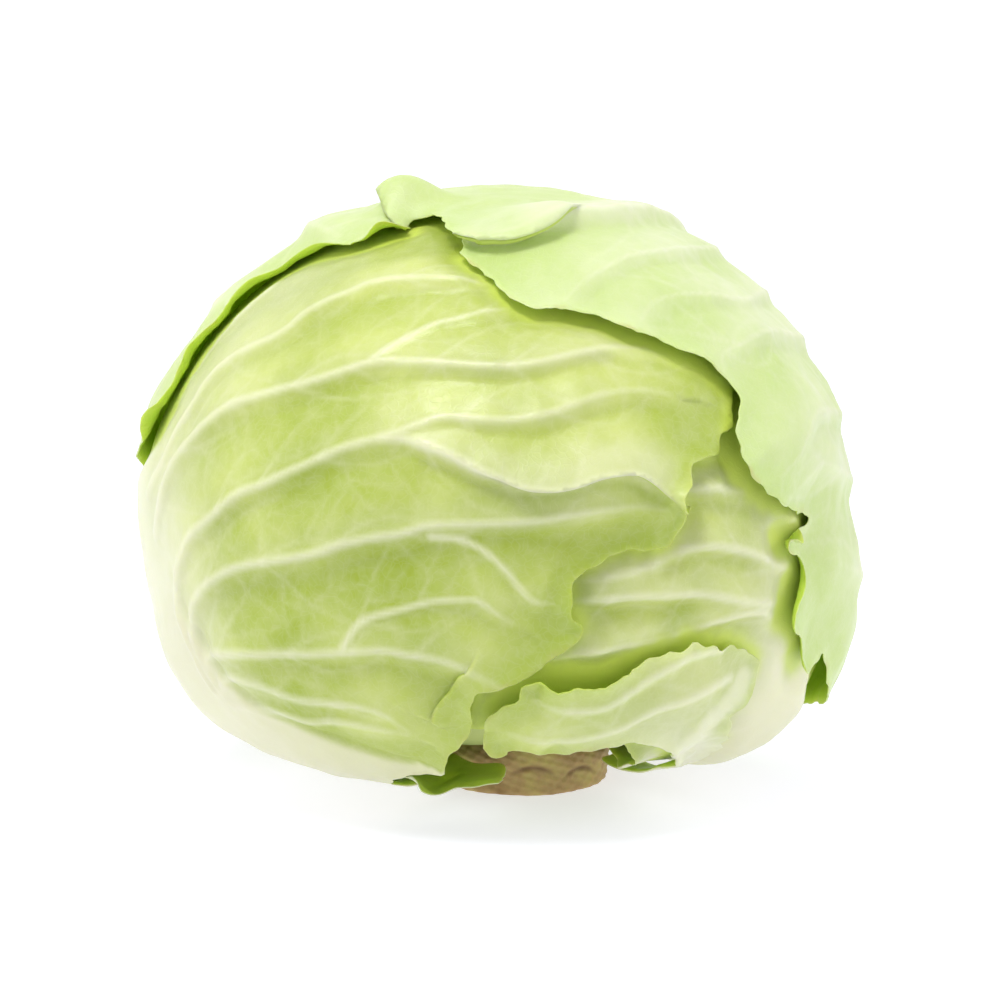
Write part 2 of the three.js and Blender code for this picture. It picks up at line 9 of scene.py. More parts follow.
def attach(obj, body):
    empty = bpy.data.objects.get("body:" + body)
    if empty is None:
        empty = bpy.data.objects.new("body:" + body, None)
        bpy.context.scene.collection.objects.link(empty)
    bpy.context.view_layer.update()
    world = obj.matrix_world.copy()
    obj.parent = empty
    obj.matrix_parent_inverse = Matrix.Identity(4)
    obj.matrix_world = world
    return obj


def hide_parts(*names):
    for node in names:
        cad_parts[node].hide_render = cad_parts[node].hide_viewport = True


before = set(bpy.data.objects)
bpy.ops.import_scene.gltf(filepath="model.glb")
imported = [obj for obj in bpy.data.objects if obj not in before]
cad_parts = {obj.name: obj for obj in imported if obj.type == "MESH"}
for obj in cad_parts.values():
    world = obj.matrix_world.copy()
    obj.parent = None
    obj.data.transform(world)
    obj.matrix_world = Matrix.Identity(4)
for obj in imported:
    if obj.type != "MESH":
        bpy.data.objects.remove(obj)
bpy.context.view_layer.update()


# Heart: the tight inner head, its leaves pressed into one firm pale body, squat, leaning to the
# left and dimpled where the stem enters. The other pieces lie on it. Places on it are angles in
# degrees, round from the front to +X and up from its centre, and shapes are in millimetres.
MM = 0.001
HALF_WIDTH, HALF_DEPTH = 84.5, 80.0
RISE, DROP = 69.5, 67.5
ROUND_ABOVE, ROUND_BELOW = 2.0, 3.1
HEART_CENTRE = np.array([-5.5, 1.0, 79.0])
LEAN = math.radians(5)
STEM_DIMPLE, STEM_DIMPLE_SPREAD = 11.0, 20.0
HEART_SINK = 3.0
HEART_FOLD = 0.5
UNEVEN = [
    (80, 28, -8.5, 28), (85, -8, -4.5, 24), (60, 75, -4.5, 40), (-75, 45, -2.5, 24),
    (-88, -15, 1.5, 22), (-75, -50, -3.5, 26), (76, -48, 6.5, 20)]
HEART_GREEN, HEART_PALE = (0.42, 0.50, 0.12, 1), (0.62, 0.67, 0.30, 1)


def direction(around, up):
    a, b = np.radians(around), np.radians(up)
    return np.stack([np.sin(a) * np.cos(b), -np.cos(a) * np.cos(b), np.sin(b)], axis=-1)


def smoothstep(x, low, high):
    t = np.clip((x - low) / (high - low), 0, 1)
    return t * t * (3 - 2 * t)


def unit(v):
    return v / np.linalg.norm(v, axis=-1, keepdims=True)


def heart_radius(d):
    above = smoothstep(d[..., 2], -0.35, 0.35)
    half = DROP + (RISE - DROP) * above
    power = ROUND_BELOW + (ROUND_ABOVE - ROUND_BELOW) * above
    level = np.hypot(d[..., 0] / HALF_WIDTH, d[..., 1] / HALF_DEPTH)
    r = (level ** power + np.abs(d[..., 2] / half) ** power) ** (-1 / power)
    from_stem = np.degrees(np.arccos(np.clip(-d[..., 2], -1, 1)))
    r = r - STEM_DIMPLE * np.exp(-(from_stem / STEM_DIMPLE_SPREAD) ** 2)
    for around, up, rise, spread in UNEVEN:
        far = np.degrees(np.arccos(np.clip(d @ direction(around, up), -1, 1)))
        r = r + rise * np.exp(-(far / spread) ** 2)
    return r


def outwards(d):
    c, s = math.cos(LEAN), math.sin(LEAN)
    return np.stack([d[..., 0] * c - d[..., 2] * s, d[..., 1], d[..., 0] * s + d[..., 2] * c], axis=-1)


def on_head(d, lift):
    return HEART_CENTRE + outwards(d) * (heart_radius(d) + lift)[..., None]


def underside(x, y, lift):
    low, high = 0.0, HEART_CENTRE[2]
    c, s = math.cos(LEAN), math.sin(LEAN)
    for _ in range(30):
        z = (low + high) / 2
        p = np.array([x, y, z]) - HEART_CENTRE
        d = unit(np.array([p[0] * c + p[2] * s, p[1], -p[0] * s + p[2] * c]))
        if np.linalg.norm(p) < heart_radius(d) + lift:
            high = z
        else:
            low = z
    return (low + high) / 2


def vertices_of(mesh):
    flat = np.empty(3 * len(mesh.vertices))
    mesh.vertices.foreach_get("co", flat)
    return flat.reshape(-1, 3)


def ink(nodes, kind, **settings):
    node = nodes.new(kind)
    for name, value in settings.items():
        if name in node.inputs:
            node.inputs[name].default_value = value
        else:
            setattr(node, name, value)
    return node


bpy.ops.object.select_all(action="DESELECT")
bpy.ops.mesh.primitive_ico_sphere_add(subdivisions=7, radius=1.0)
heart = bpy.context.object
heart.name = "heart_body"
heart_places = unit(vertices_of(heart.data))
heart_folds = HEART_FOLD * (np.sin(9 * heart_places[:, 0] + 4 * heart_places[:, 2]) ** 3 - 1)
heart.data.vertices.foreach_set("co", (on_head(heart_places, heart_folds - HEART_SINK) * MM).ravel())
heart.data.shade_smooth()

heart_skin = bpy.data.materials.new("heart_skin")
heart_skin.use_nodes = True
nodes, links = heart_skin.node_tree.nodes, heart_skin.node_tree.links
skin = nodes["Principled BSDF"]
skin.inputs["Roughness"].default_value = 0.45
mottle = ink(nodes, "ShaderNodeTexNoise", Scale=60.0, Detail=4.0)
tint = nodes.new("ShaderNodeValToRGB")
tint.color_ramp.elements[0].color = HEART_GREEN
tint.color_ramp.elements[1].color = HEART_PALE
place = nodes.new("ShaderNodeTexCoord")
links.new(place.outputs["Object"], mottle.inputs["Vector"])
links.new(mottle.outputs["Fac"], tint.inputs["Fac"])
links.new(tint.outputs["Color"], skin.inputs["Base Color"])
heart.data.materials.append(heart_skin)
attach(heart, "root")
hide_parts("heart")


# Stem: the stump left where the head was cut from its root. Its flat cut is woody, with a
# paler pith, and its side is knobby with the scars of the leaves that were pulled off.
STEM_RADIUS = 23.0
STEM_FLARE = 1.2
STEM_GAP = 1.2
STEM_SIDES = 220
CUT_RINGS = 14
CUT_ROUND = 0.9
TOP_RISE = 20
LUMPS = [(0.35, 3, 0, 1), (0.25, 7, 0, 0), (0.12, 23, 3, 0), (0.1, 41, -2, 0)]
SCAR_HALF_TURN, SCAR_ARCH, SCAR_LINE, SCAR_DEPTH = 13, 1.8, 0.7, 0.5
SCAR_PAD_TALL, SCAR_PAD_SINK = 2.2, 1.7
SCARS = [
    (-62, 5.5, 1.3), (-28, 4, 1.1), (6, 6, 1.4), (41, 4.5, 1.2), (80, 6, 1.3), (124, 5, 1.2),
    (165, 5.5, 1.4), (-146, 4.5, 1.2), (-104, 6, 1.3)]
SIDE_ROWS = np.concatenate([[0.25, 0.6], np.linspace(1.1, 13.5, 30)])
INNER_ROWS = [0.95, 0.85, 0.7, 0.55, 0.4, 0.25, 0.1]
WOOD_DARK, WOOD, WOOD_GREEN = (0.29, 0.17, 0.055, 1), (0.45, 0.31, 0.12, 1), (0.54, 0.48, 0.13, 1)
SCAR_BROWN = (0.22, 0.13, 0.05, 1)

bpy.ops.object.select_all(action="DESELECT")
bpy.ops.mesh.primitive_circle_add(vertices=STEM_SIDES, radius=STEM_RADIUS, fill_type="NOTHING")
stem = bpy.context.object
stem.name = "stem_stump"
bpy.ops.object.mode_set(mode="EDIT")
bpy.ops.mesh.select_all(action="SELECT")
risen = 0.0
for row in SIDE_ROWS:
    bpy.ops.mesh.extrude_region_move(TRANSFORM_OT_translate={"value": (0, 0, row - risen)})
    risen = row
for i, share in enumerate(INNER_ROWS):
    bpy.ops.mesh.extrude_region_move(TRANSFORM_OT_translate={"value": (0, 0, 0 if i else TOP_RISE)})
    shrink = share / (INNER_ROWS[i - 1] if i else 1)
    bpy.ops.transform.resize(value=(shrink, shrink, 1))
bpy.ops.mesh.edge_face_add()
bpy.ops.mesh.poke()
bpy.ops.mesh.select_all(action="DESELECT")
bpy.ops.object.mode_set(mode="OBJECT")
for vertex in stem.data.vertices:
    vertex.select = abs(vertex.co.z) < 1e-5
bpy.ops.object.mode_set(mode="EDIT")
bpy.ops.mesh.select_mode(type="VERT")
for ring in range(CUT_RINGS, 0, -1):
    bpy.ops.mesh.extrude_region_move()
    shrink = ring / (ring + 1)
    bpy.ops.transform.resize(value=(shrink, shrink, 1))
bpy.ops.mesh.edge_face_add()
bpy.ops.mesh.poke()
bpy.ops.mesh.select_all(action="SELECT")
bpy.ops.mesh.normals_make_consistent(inside=False)
bpy.ops.object.mode_set(mode="OBJECT")

stem_shape = vertices_of(stem.data)
stem_angle = np.arctan2(stem_shape[:, 0], -stem_shape[:, 1])
stem_wide = np.hypot(stem_shape[:, 0], stem_shape[:, 1])
stem_tall = stem_shape[:, 2]
stem_top = stem_tall > SIDE_ROWS[-1] + TOP_RISE / 2
on_side = smoothstep(stem_wide / STEM_RADIUS, 0.9, 1.0) * ~stem_top
swell = STEM_FLARE * smoothstep(stem_tall, 0, 10)
for size, turns, climb, start in LUMPS:
    swell += size * np.sin(turns * stem_angle + climb * stem_tall + start)
swell -= CUT_ROUND * (1 - smoothstep(stem_tall, 0, CUT_ROUND))
scarred = np.zeros(len(stem_shape))
for around, tall, high in SCARS:
    apart = np.abs(np.degrees(stem_angle) - around)
    apart = np.minimum(apart, 360 - apart) / SCAR_HALF_TURN
    arch = tall + SCAR_ARCH * (1 - apart ** 2)
    scarred += np.exp(-apart ** 4) * np.exp(-((stem_tall - arch) / SCAR_LINE) ** 2)
    swell += (high - SCAR_PAD_SINK) * np.exp(-apart ** 2 - ((stem_tall - tall) / SCAR_PAD_TALL) ** 2)
swell -= SCAR_DEPTH * scarred
new_wide = stem_wide + on_side * swell
stem_shape[:, 0] = new_wide * np.sin(stem_angle)
stem_shape[:, 1] = -new_wide * np.cos(stem_angle)
for i in np.flatnonzero(stem_top):
    roof = underside(stem_shape[i, 0], stem_shape[i, 1], -HEART_SINK - HEART_FOLD)
    stem_shape[i, 2] = roof - STEM_GAP
stem.data.vertices.foreach_set("co", (stem_shape * MM).ravel())
stem.data.shade_smooth()
scar_mark = stem.data.attributes.new("scar", "FLOAT", "POINT")
scar_mark.data.foreach_set("value", np.clip(scarred * on_side, 0, 1))

stem_wood = bpy.data.materials.new("stem_wood")
stem_wood.use_nodes = True
nodes, links = stem_wood.node_tree.nodes, stem_wood.node_tree.links
skin = nodes["Principled BSDF"]
skin.inputs["Roughness"].default_value = 0.62
skin.inputs["Subsurface Weight"].default_value = 0.15
skin.inputs["Subsurface Scale"].default_value = 0.002
place = nodes.new("ShaderNodeTexCoord")
blotch = ink(nodes, "ShaderNodeTexNoise", Scale=95.0, Detail=6.0, Roughness=0.6)
tint = nodes.new("ShaderNodeValToRGB")
tint.color_ramp.elements[0].position = 0.3
tint.color_ramp.elements[0].color = WOOD_DARK
tint.color_ramp.elements[1].position = 0.72
tint.color_ramp.elements[1].color = WOOD_GREEN
middle = tint.color_ramp.elements.new(0.5)
middle.color = WOOD
scar = ink(nodes, "ShaderNodeAttribute", attribute_name="scar")
browned = ink(nodes, "ShaderNodeMix", data_type="RGBA")
browned.inputs["B"].default_value = SCAR_BROWN
grain = ink(nodes, "ShaderNodeTexNoise", Scale=700.0, Detail=5.0)
rough = ink(nodes, "ShaderNodeBump", Strength=0.5, Distance=0.0004)
links.new(place.outputs["Object"], blotch.inputs["Vector"])
links.new(place.outputs["Object"], grain.inputs["Vector"])
links.new(blotch.outputs["Fac"], tint.inputs["Fac"])
links.new(tint.outputs["Color"], browned.inputs["A"])
links.new(scar.outputs["Fac"], browned.inputs["Factor"])
links.new(browned.outputs["Result"], skin.inputs["Base Color"])
links.new(grain.outputs["Fac"], rough.inputs["Height"])
links.new(rough.outputs["Normal"], skin.inputs["Normal"])
stem.data.materials.append(stem_wood)
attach(stem, "root")
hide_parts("stem")


# Back leaf: the innermost loose leaf, hidden but for its foot. Like each leaf here it is a
# thin blade, thick and white at its foot, that grows from the stem and wraps the layer
# under it. It is laid out flat from its margin and ribs, raised in folds, and closed.
BLADE = 0.85
LAYER = 3.2
INNERMOST = 1.8
SPHERE = 80.0
BASE_RADIUS = 26.2
COVERED_RELIEF = 0.2
COVER_FADE = 8.0
MARGIN_STEP = 1.1
ANY_START = 6.3
RAGGED_WAVES = (22, 11, 5)
RAGGED = 0.35
FOLD_WIDE, FOLD_STEEP, FOLD_RISE = 10.0, 3.4, 1.8
CREST_RISE, VEIN_RISE, FOOT_RISE, SEAM_DEPTH, LEAST_RISE = 0.75, 0.18, 0.5, 0.6, 0.3
VEIN_WIDE = 0.62
PUFF_RISE, PUFF_WIDE = 0.28, 2.2
SEAM_WIDE = 1.1
RIPPLE = 0.06
VEIN_STEP = 1.3
FIRST_REACH, NEXT_REACH = (20, 45), 20
FIRST_APART, NEXT_APART = (6, 11), (6, 10)
STEM_SIDE = (0.72, 0.86)
SETTLE_WIDE = 9
LIP = 1.0
FRILL_WIDE = 5
# Painted shade: the inner face of a leaf in the dark, saturated green it shows in shade.
UNDERSIDE_IN_SHADE = (0.46, 0.62, 0.06, 1)
# Painted shade: the saturated green of a leaf lying in the shade of the leaves over it.
SHADE_UNDER_LEAVES_GREEN = (0.66, 0.80, 0.12, 1)
CREAM = (0.69, 0.685, 0.44, 1)
BROWNED = (0.45, 0.38, 0.12, 1)
GREEN_BLADE, GREEN_DEEP = (0.63, 0.72, 0.38, 1), (0.47, 0.61, 0.18, 1)
GREEN_WHITE = (0.76, 0.78, 0.59, 1)


def clasp(lift, start, end):
    """Where a leaf at this lift clasps the stem, from one side to another."""
    angles = []
    for degrees in np.linspace(start, end, max(3, round(abs(end - start) / 10))):
        x = BASE_RADIUS * math.sin(math.radians(degrees))
        y = -BASE_RADIUS * math.cos(math.radians(degrees))
        p = np.array([x, y, underside(x, y, lift)]) - HEART_CENTRE
        c, s = math.cos(LEAN), math.sin(LEAN)
        d = unit(np.array([p[0] * c + p[2] * s, p[1], -p[0] * s + p[2] * c]))
        angles.append((math.degrees(math.atan2(d[0], -d[1])), math.degrees(math.asin(d[2]))))
    return angles


def smooth_path(angles, closed, step):
    """Evenly spaced unit directions on a smooth curve through the listed angles."""
    p = direction(*np.array(angles, float).T)
    count = len(p)
    samples = []
    share = np.linspace(0, 1, 16, endpoint=False)[:, None]
    for i in range(count if closed else count - 1):
        b, c = p[i], p[(i + 1) % count]
        a = p[i - 1] if closed or i > 0 else 2 * b - c
        e = p[(i + 2) % count] if closed or i + 2 < count else 2 * c - b
        before, here, after = (max(np.linalg.norm(v) ** 0.5, 1e-4) for v in (b - a, c - b, e - c))
        leave = ((b - a) / before - (c - a) / (before + here) + (c - b) / here) * here
        arrive = ((c - b) / here - (e - b) / (here + after) + (e - c) / after) * here
        samples.append(b + leave * share + (3 * (c - b) - 2 * leave - arrive) * share ** 2
                       + (2 * (b - c) + leave + arrive) * share ** 3)
    samples = np.concatenate(samples + [p[:1] if closed else p[-1:]])
    length = np.concatenate([[0], np.cumsum(np.linalg.norm(np.diff(samples, axis=0), axis=1))])
    steps = max(2, round(length[-1] * SPHERE / step))
    at = np.linspace(0, length[-1], steps + 1)
    even = np.stack([np.interp(at, length, samples[:, k]) for k in range(3)], axis=1)
    return unit(even[:-1] if closed else even)


def near_path(d, path, closed=False):
    """For each direction: distance to a path, share of the way along it, which way is left
    of it there, and its nearest point."""
    a = path if closed else path[:-1]
    b = np.roll(path, -1, axis=0) if closed else path[1:]
    ab = b - a
    long_way = (ab ** 2).sum(1)
    lefts = unit(np.cross(a, b))
    distance = np.empty(len(d))
    along = np.empty(len(d))
    left = np.empty((len(d), 3))
    point = np.empty((len(d), 3))
    for start in range(0, len(d), 2000):
        part = d[start:start + 2000]
        ahead = part @ ab.T - (a * ab).sum(1)
        t = np.clip(ahead / long_way, 0, 1)
        apart = (part ** 2).sum(1)[:, None] + (a ** 2).sum(1) - 2 * part @ a.T
        apart = apart - 2 * t * ahead + t * t * long_way
        i = apart.argmin(axis=1)
        rows = np.arange(len(part))
        step = t[rows, i]
        distance[start:start + 2000] = np.sqrt(np.maximum(apart[rows, i], 0)) * SPHERE
        along[start:start + 2000] = (i + step) / len(a)
        left[start:start + 2000] = lefts[i]
        point[start:start + 2000] = a[i] + ab[i] * step[:, None]
    return distance, along, left, point


def make_chart(middle):
    up = direction(*middle)
    east = unit(np.cross([0, 0, 1], up))
    return up, east, np.cross(up, east)


def to_chart(d, chart):
    up, east, north = chart
    far = np.arccos(np.clip(d @ up, -1, 1))
    across = np.stack([d @ east, d @ north], axis=-1)
    return unit(across + 1e-12) * (2 * SPHERE * np.sin(far / 2))[..., None]


def from_chart(p, chart):
    up, east, north = chart
    long = np.maximum(np.linalg.norm(p, axis=1), 1e-9)
    far = 2 * np.arcsin(np.clip(long / (2 * SPHERE), 0, 1))
    side = (p[:, :1] * east + p[:, 1:] * north) * (np.sin(far) / long)[:, None]
    return unit(side + up * np.cos(far)[:, None])


def inside_outline(p, outline):
    start, end = outline, np.roll(outline, 1, axis=0)
    tall = end[:, 1] - start[:, 1]
    slope = (end[:, 0] - start[:, 0]) / np.where(tall == 0, 1e-12, tall)
    inside = np.empty(len(p), bool)
    for first in range(0, len(p), 4000):
        x, y = p[first:first + 4000, :1], p[first:first + 4000, 1:]
        crosses = (start[:, 1] > y) != (end[:, 1] > y)
        crosses &= x < start[:, 0] + slope * (y - start[:, 1])
        inside[first:first + 4000] = crosses.sum(axis=1) % 2 == 1
    return inside


def ragged_margin(leaf, rng):
    path = smooth_path(leaf["margin"], True, MARGIN_STEP)
    side = unit(np.cross(np.roll(path, -1, axis=0) - np.roll(path, 1, axis=0), path))
    turn = np.linspace(0, 2 * math.pi, len(path), endpoint=False)
    shift = np.zeros(len(path))
    for points in RAGGED_WAVES:
        wobble = rng.uniform(0.4, 1.0) * np.sin(len(path) // points * turn + rng.uniform(0, ANY_START))
        shift += wobble * np.sin(3 * turn + rng.uniform(0, ANY_START)) ** 2
    shift += rng.normal(0, 0.2, len(path))
    shift *= RAGGED * leaf["ragged"] / SPHERE
    shift[path[:, 2] < -0.88] = 0
    return unit(path + side * shift[:, None])


def smooth_to(path, step):
    """A path with more points, this many millimetres apart."""
    length = np.concatenate([[0], np.cumsum(np.linalg.norm(np.diff(path, axis=0), axis=1))]) * SPHERE
    at = np.arange(0, length[-1], step)
    return unit(np.stack([np.interp(at, length, path[:, k]) for k in range(3)], axis=1))


def grow_veins(leaf, rng):
    """Side veins that branch from the ribs and from each other and end where they meet."""
    taken = np.concatenate([smooth_to(path, 0.8) for path in leaf["paths"]])
    veins = []
    sprouts = []
    for path in leaf["paths"]:
        at = rng.uniform(3, 6)
        while at < len(path) - 3:
            for sign in (-1, 1):
                way = path[int(at) + 1] - path[int(at)]
                sprouts.append((path[int(at)], way, sign, 0, rng.uniform(*FIRST_REACH)))
            at += rng.uniform(*FIRST_APART)
    while sprouts:
        start, way, sign, level, reach = sprouts.pop(0)
        angle = sign * math.radians(rng.uniform(35, 60) if level == 0 else rng.uniform(50, 80))
        way = unit(way)
        heading = way * math.cos(angle) + np.cross(start, way) * math.sin(angle)
        bend = -sign * rng.uniform(0.01, 0.06)
        trail = [start]
        met = False
        while len(trail) * VEIN_STEP < reach and not met:
            heading = unit(heading + np.cross(trail[-1], heading) * (bend + rng.normal(0, 0.05)))
            step = unit(trail[-1] + heading * VEIN_STEP / SPHERE)
            heading = heading - step * (heading @ step)
            trail.append(step)
            met = len(trail) > 3 and np.min(np.linalg.norm(taken - step, axis=1)) * SPHERE < VEIN_STEP
        trail = np.array(trail)
        if len(trail) < 5 or not (met or (level == 0 and rng.rand() < 0.35)):
            continue
        if not inside_outline(to_chart(trail, leaf["chart"]), leaf["outline"])[-1]:
            continue
        veins.append((trail, 1.0 if level == 0 else 0.65))
        taken = np.concatenate([taken, trail])
        if level < 2:
            at = rng.uniform(3, 6)
            while at < len(trail) - 3:
                way_on = trail[int(at) + 1] - trail[int(at)]
                for turned in (-1, 1):
                    sprouts.append((trail[int(at)], way_on, turned, level + 1, NEXT_REACH))
                at += rng.uniform(*NEXT_APART)
    return veins


def prepare_leaf(leaf):
    rng = np.random.RandomState(leaf["seed"])
    leaf["chart"] = make_chart(leaf["middle"])
    leaf["edge"] = ragged_margin(leaf, rng)
    leaf["outline"] = to_chart(leaf["edge"], leaf["chart"])
    leaf["paths"] = [smooth_path(rib["path"], False, 2.0) for rib in leaf["ribs"]]
    leaf["veins"] = grow_veins(leaf, rng)
    for name, count, ends in (("waves", 5, (7, 15)), ("ripples", 9, (26, 60))):
        leaf[name] = [(unit(rng.normal(size=3)) * rng.uniform(*ends), rng.uniform(0, ANY_START))
                      for _ in range(count)]
    leaf["frills"] = [(rng.uniform(9, 26), rng.uniform(0, ANY_START), rng.uniform(0.4, 1))
                      for _ in range(4)]
    return leaf


def openness(d, above):
    open_here = np.ones(len(d))
    for leaf in above:
        under = inside_outline(to_chart(d, leaf["chart"]), leaf["outline"])
        gap = near_path(d, leaf["edge"], True)[0]
        open_here = np.minimum(open_here, smoothstep(np.where(under, 0, gap), 0, COVER_FADE))
    return COVERED_RELIEF + (1 - COVERED_RELIEF) * open_here


def relief(d, leaf):
    """Height over the layer, with the marks that the leaf's colours follow."""
    folds = np.zeros(len(d))
    crest = np.zeros(len(d))
    rib_mark = np.zeros(len(d))
    solid = np.zeros(len(d))
    for rib, path in zip(leaf["ribs"], leaf["paths"]):
        distance, along, left, _ = near_path(d, path)
        strength = 1 + (rib.get("tip", 0.45) - 1) * along
        if rib.get("broad"):
            mound = strength * np.exp(-(distance / (rib["wide"] * strength)) ** 2)
            solid = np.maximum(solid, rib["high"] * mound)
            rib_mark = np.maximum(rib_mark, np.exp(-(distance / (0.9 * rib["wide"] * strength)) ** 4))
            continue
        gentle = (left * d).sum(1) * rib.get("over", 1) > 0
        fade = smoothstep(along, 0, 0.15) * (1 - 0.6 * smoothstep(along, 0.85, 1))
        wide = np.where(gentle, rib.get("gentle", FOLD_WIDE), rib.get("steep", FOLD_STEEP))
        fold = FOLD_RISE * rib.get("fold", 1.6) * (0.45 + 0.55 * along) * fade
        folds += (fold * np.exp(-(distance / wide) ** 2)) ** 4
        narrow = rib.get("narrow", 1.5) * (0.45 + 0.55 * strength)
        strength = strength * (1 - 0.75 * smoothstep(along, 0.75, 1))
        crest = np.maximum(crest, rib["high"] * strength * np.exp(-(distance / narrow) ** 2))
        rib_mark = np.maximum(rib_mark, strength ** 0.5 * np.exp(-(distance / (0.85 * narrow)) ** 2))
    folds = folds ** 0.25
    trails = [(smooth_to(trail, 0.4), size) for trail, size in leaf["veins"]]
    points = np.concatenate([trail for trail, _ in trails])
    sizes = np.concatenate([size * np.linspace(1, 0.5, len(trail)) for trail, size in trails])
    tree = kdtree.KDTree(len(points))
    for i, p in enumerate(points):
        tree.insert(p, i)
    tree.balance()
    hits = [tree.find(p) for p in d]
    far = np.array([hit[2] for hit in hits]) * SPHERE
    size = sizes[[hit[1] for hit in hits]]
    vein_mark = size * np.exp(-(far / VEIN_WIDE) ** 2)
    puff = PUFF_RISE * (1 - np.exp(-(far / PUFF_WIDE) ** 2))
    waves = sum((1 + np.sin(d @ way + start)) / 2 for way, start in leaf["waves"]) * leaf["wave"]
    ripple = sum(np.sin(d @ way + start) for way, start in leaf["ripples"]) * RIPPLE
    foot, seam = foot_of(d, leaf)
    height = folds + CREST_RISE * crest + VEIN_RISE * vein_mark + puff + waves + ripple + LEAST_RISE
    height = height + FOOT_RISE * foot - SEAM_DEPTH * seam
    return height, solid, {"rib": rib_mark, "vein": vein_mark, "fold": folds, "foot": foot}


def foot_of(d, leaf):
    """The thick cream foot of the leaf on one side of a seam, and the seam itself."""
    if "foot" not in leaf:
        return np.zeros(len(d)), np.zeros(len(d))
    side, soft, wide, path = leaf["foot"]
    distance, along, left, _ = near_path(d, smooth_path(path, False, 2.0))
    over = np.where((left * d).sum(1) * side > 0, distance, -distance)
    shown = smoothstep(along, 0, 0.3)
    foot = shown * smoothstep(over, 0, soft) * (1 - smoothstep(over, wide, 1.5 * wide))
    seam = shown * np.exp(-(distance / SEAM_WIDE) ** 2) * (soft < 5)
    return foot, seam


def pleat(d, leaf):
    """Where the blade is folded over itself: one side of a line slides over the other."""
    moved = np.zeros((len(d), 3))
    raised = np.zeros(len(d))
    for fold in leaf.get("pleats", []):
        path = smooth_path(fold["path"], False, 2.0)
        distance, along, left, _ = near_path(d, path)
        over = np.where((left * d).sum(1) * fold["over"] > 0, distance, -distance)
        strength = smoothstep(along, *fold["fade_in"]) * (1 - smoothstep(along, *fold["fade_out"]))
        near = np.where(over > 0, np.exp(-(over / fold["spread"]) ** 2), smoothstep(over, -LIP, 0))
        moved -= left * (fold["over"] * fold["slide"] * strength * near)[:, None]
        raised += fold["rise"] * strength * near
    return outwards(moved), raised


def crease_lines(leaf):
    """The two lines on the chart that the mesh follows where the blade is folded over."""
    lines = []
    for fold in leaf.get("pleats", []):
        path = smooth_path(fold["path"], False, MARGIN_STEP)
        left = unit(np.cross(path, np.gradient(path, axis=0)))
        for aside in (0, -LIP):
            lines.append(to_chart(unit(path + left * fold["over"] * aside / SPHERE), leaf["chart"]))
    return lines


def roll(d, leaf, edge):
    """Reach and turn of the roll along the margin, away from the head."""
    reach = np.full(len(d), float(leaf["curl"][0]))
    turn = np.full(len(d), float(leaf["curl"][1]))
    for around, up, spread, more_reach, more_turn in leaf["curls"]:
        far = np.linalg.norm(edge - direction(around, up), axis=1) * SPHERE
        weight = np.exp(-(far / spread) ** 2)
        reach += weight * more_reach
        turn += weight * more_turn
    near_stem = smoothstep(-d[:, 2], *STEM_SIDE)
    return reach, np.radians(turn * (1 - near_stem)) + 1e-3


def pale_of(d, leaf):
    """How white the leaf is: most at its foot and beside its middle rib."""
    path = leaf["paths"][0]
    distance, along, _, _ = near_path(d, path)
    near, far = leaf["pale"]
    white = 1 - smoothstep(distance, near, far)
    white = white * (1 - leaf.get("pale_end", 0.65) * smoothstep(along, 0.4, 0.95))
    return np.clip(white + smoothstep(-d[:, 2], 0.6, 0.95), 0, 1)


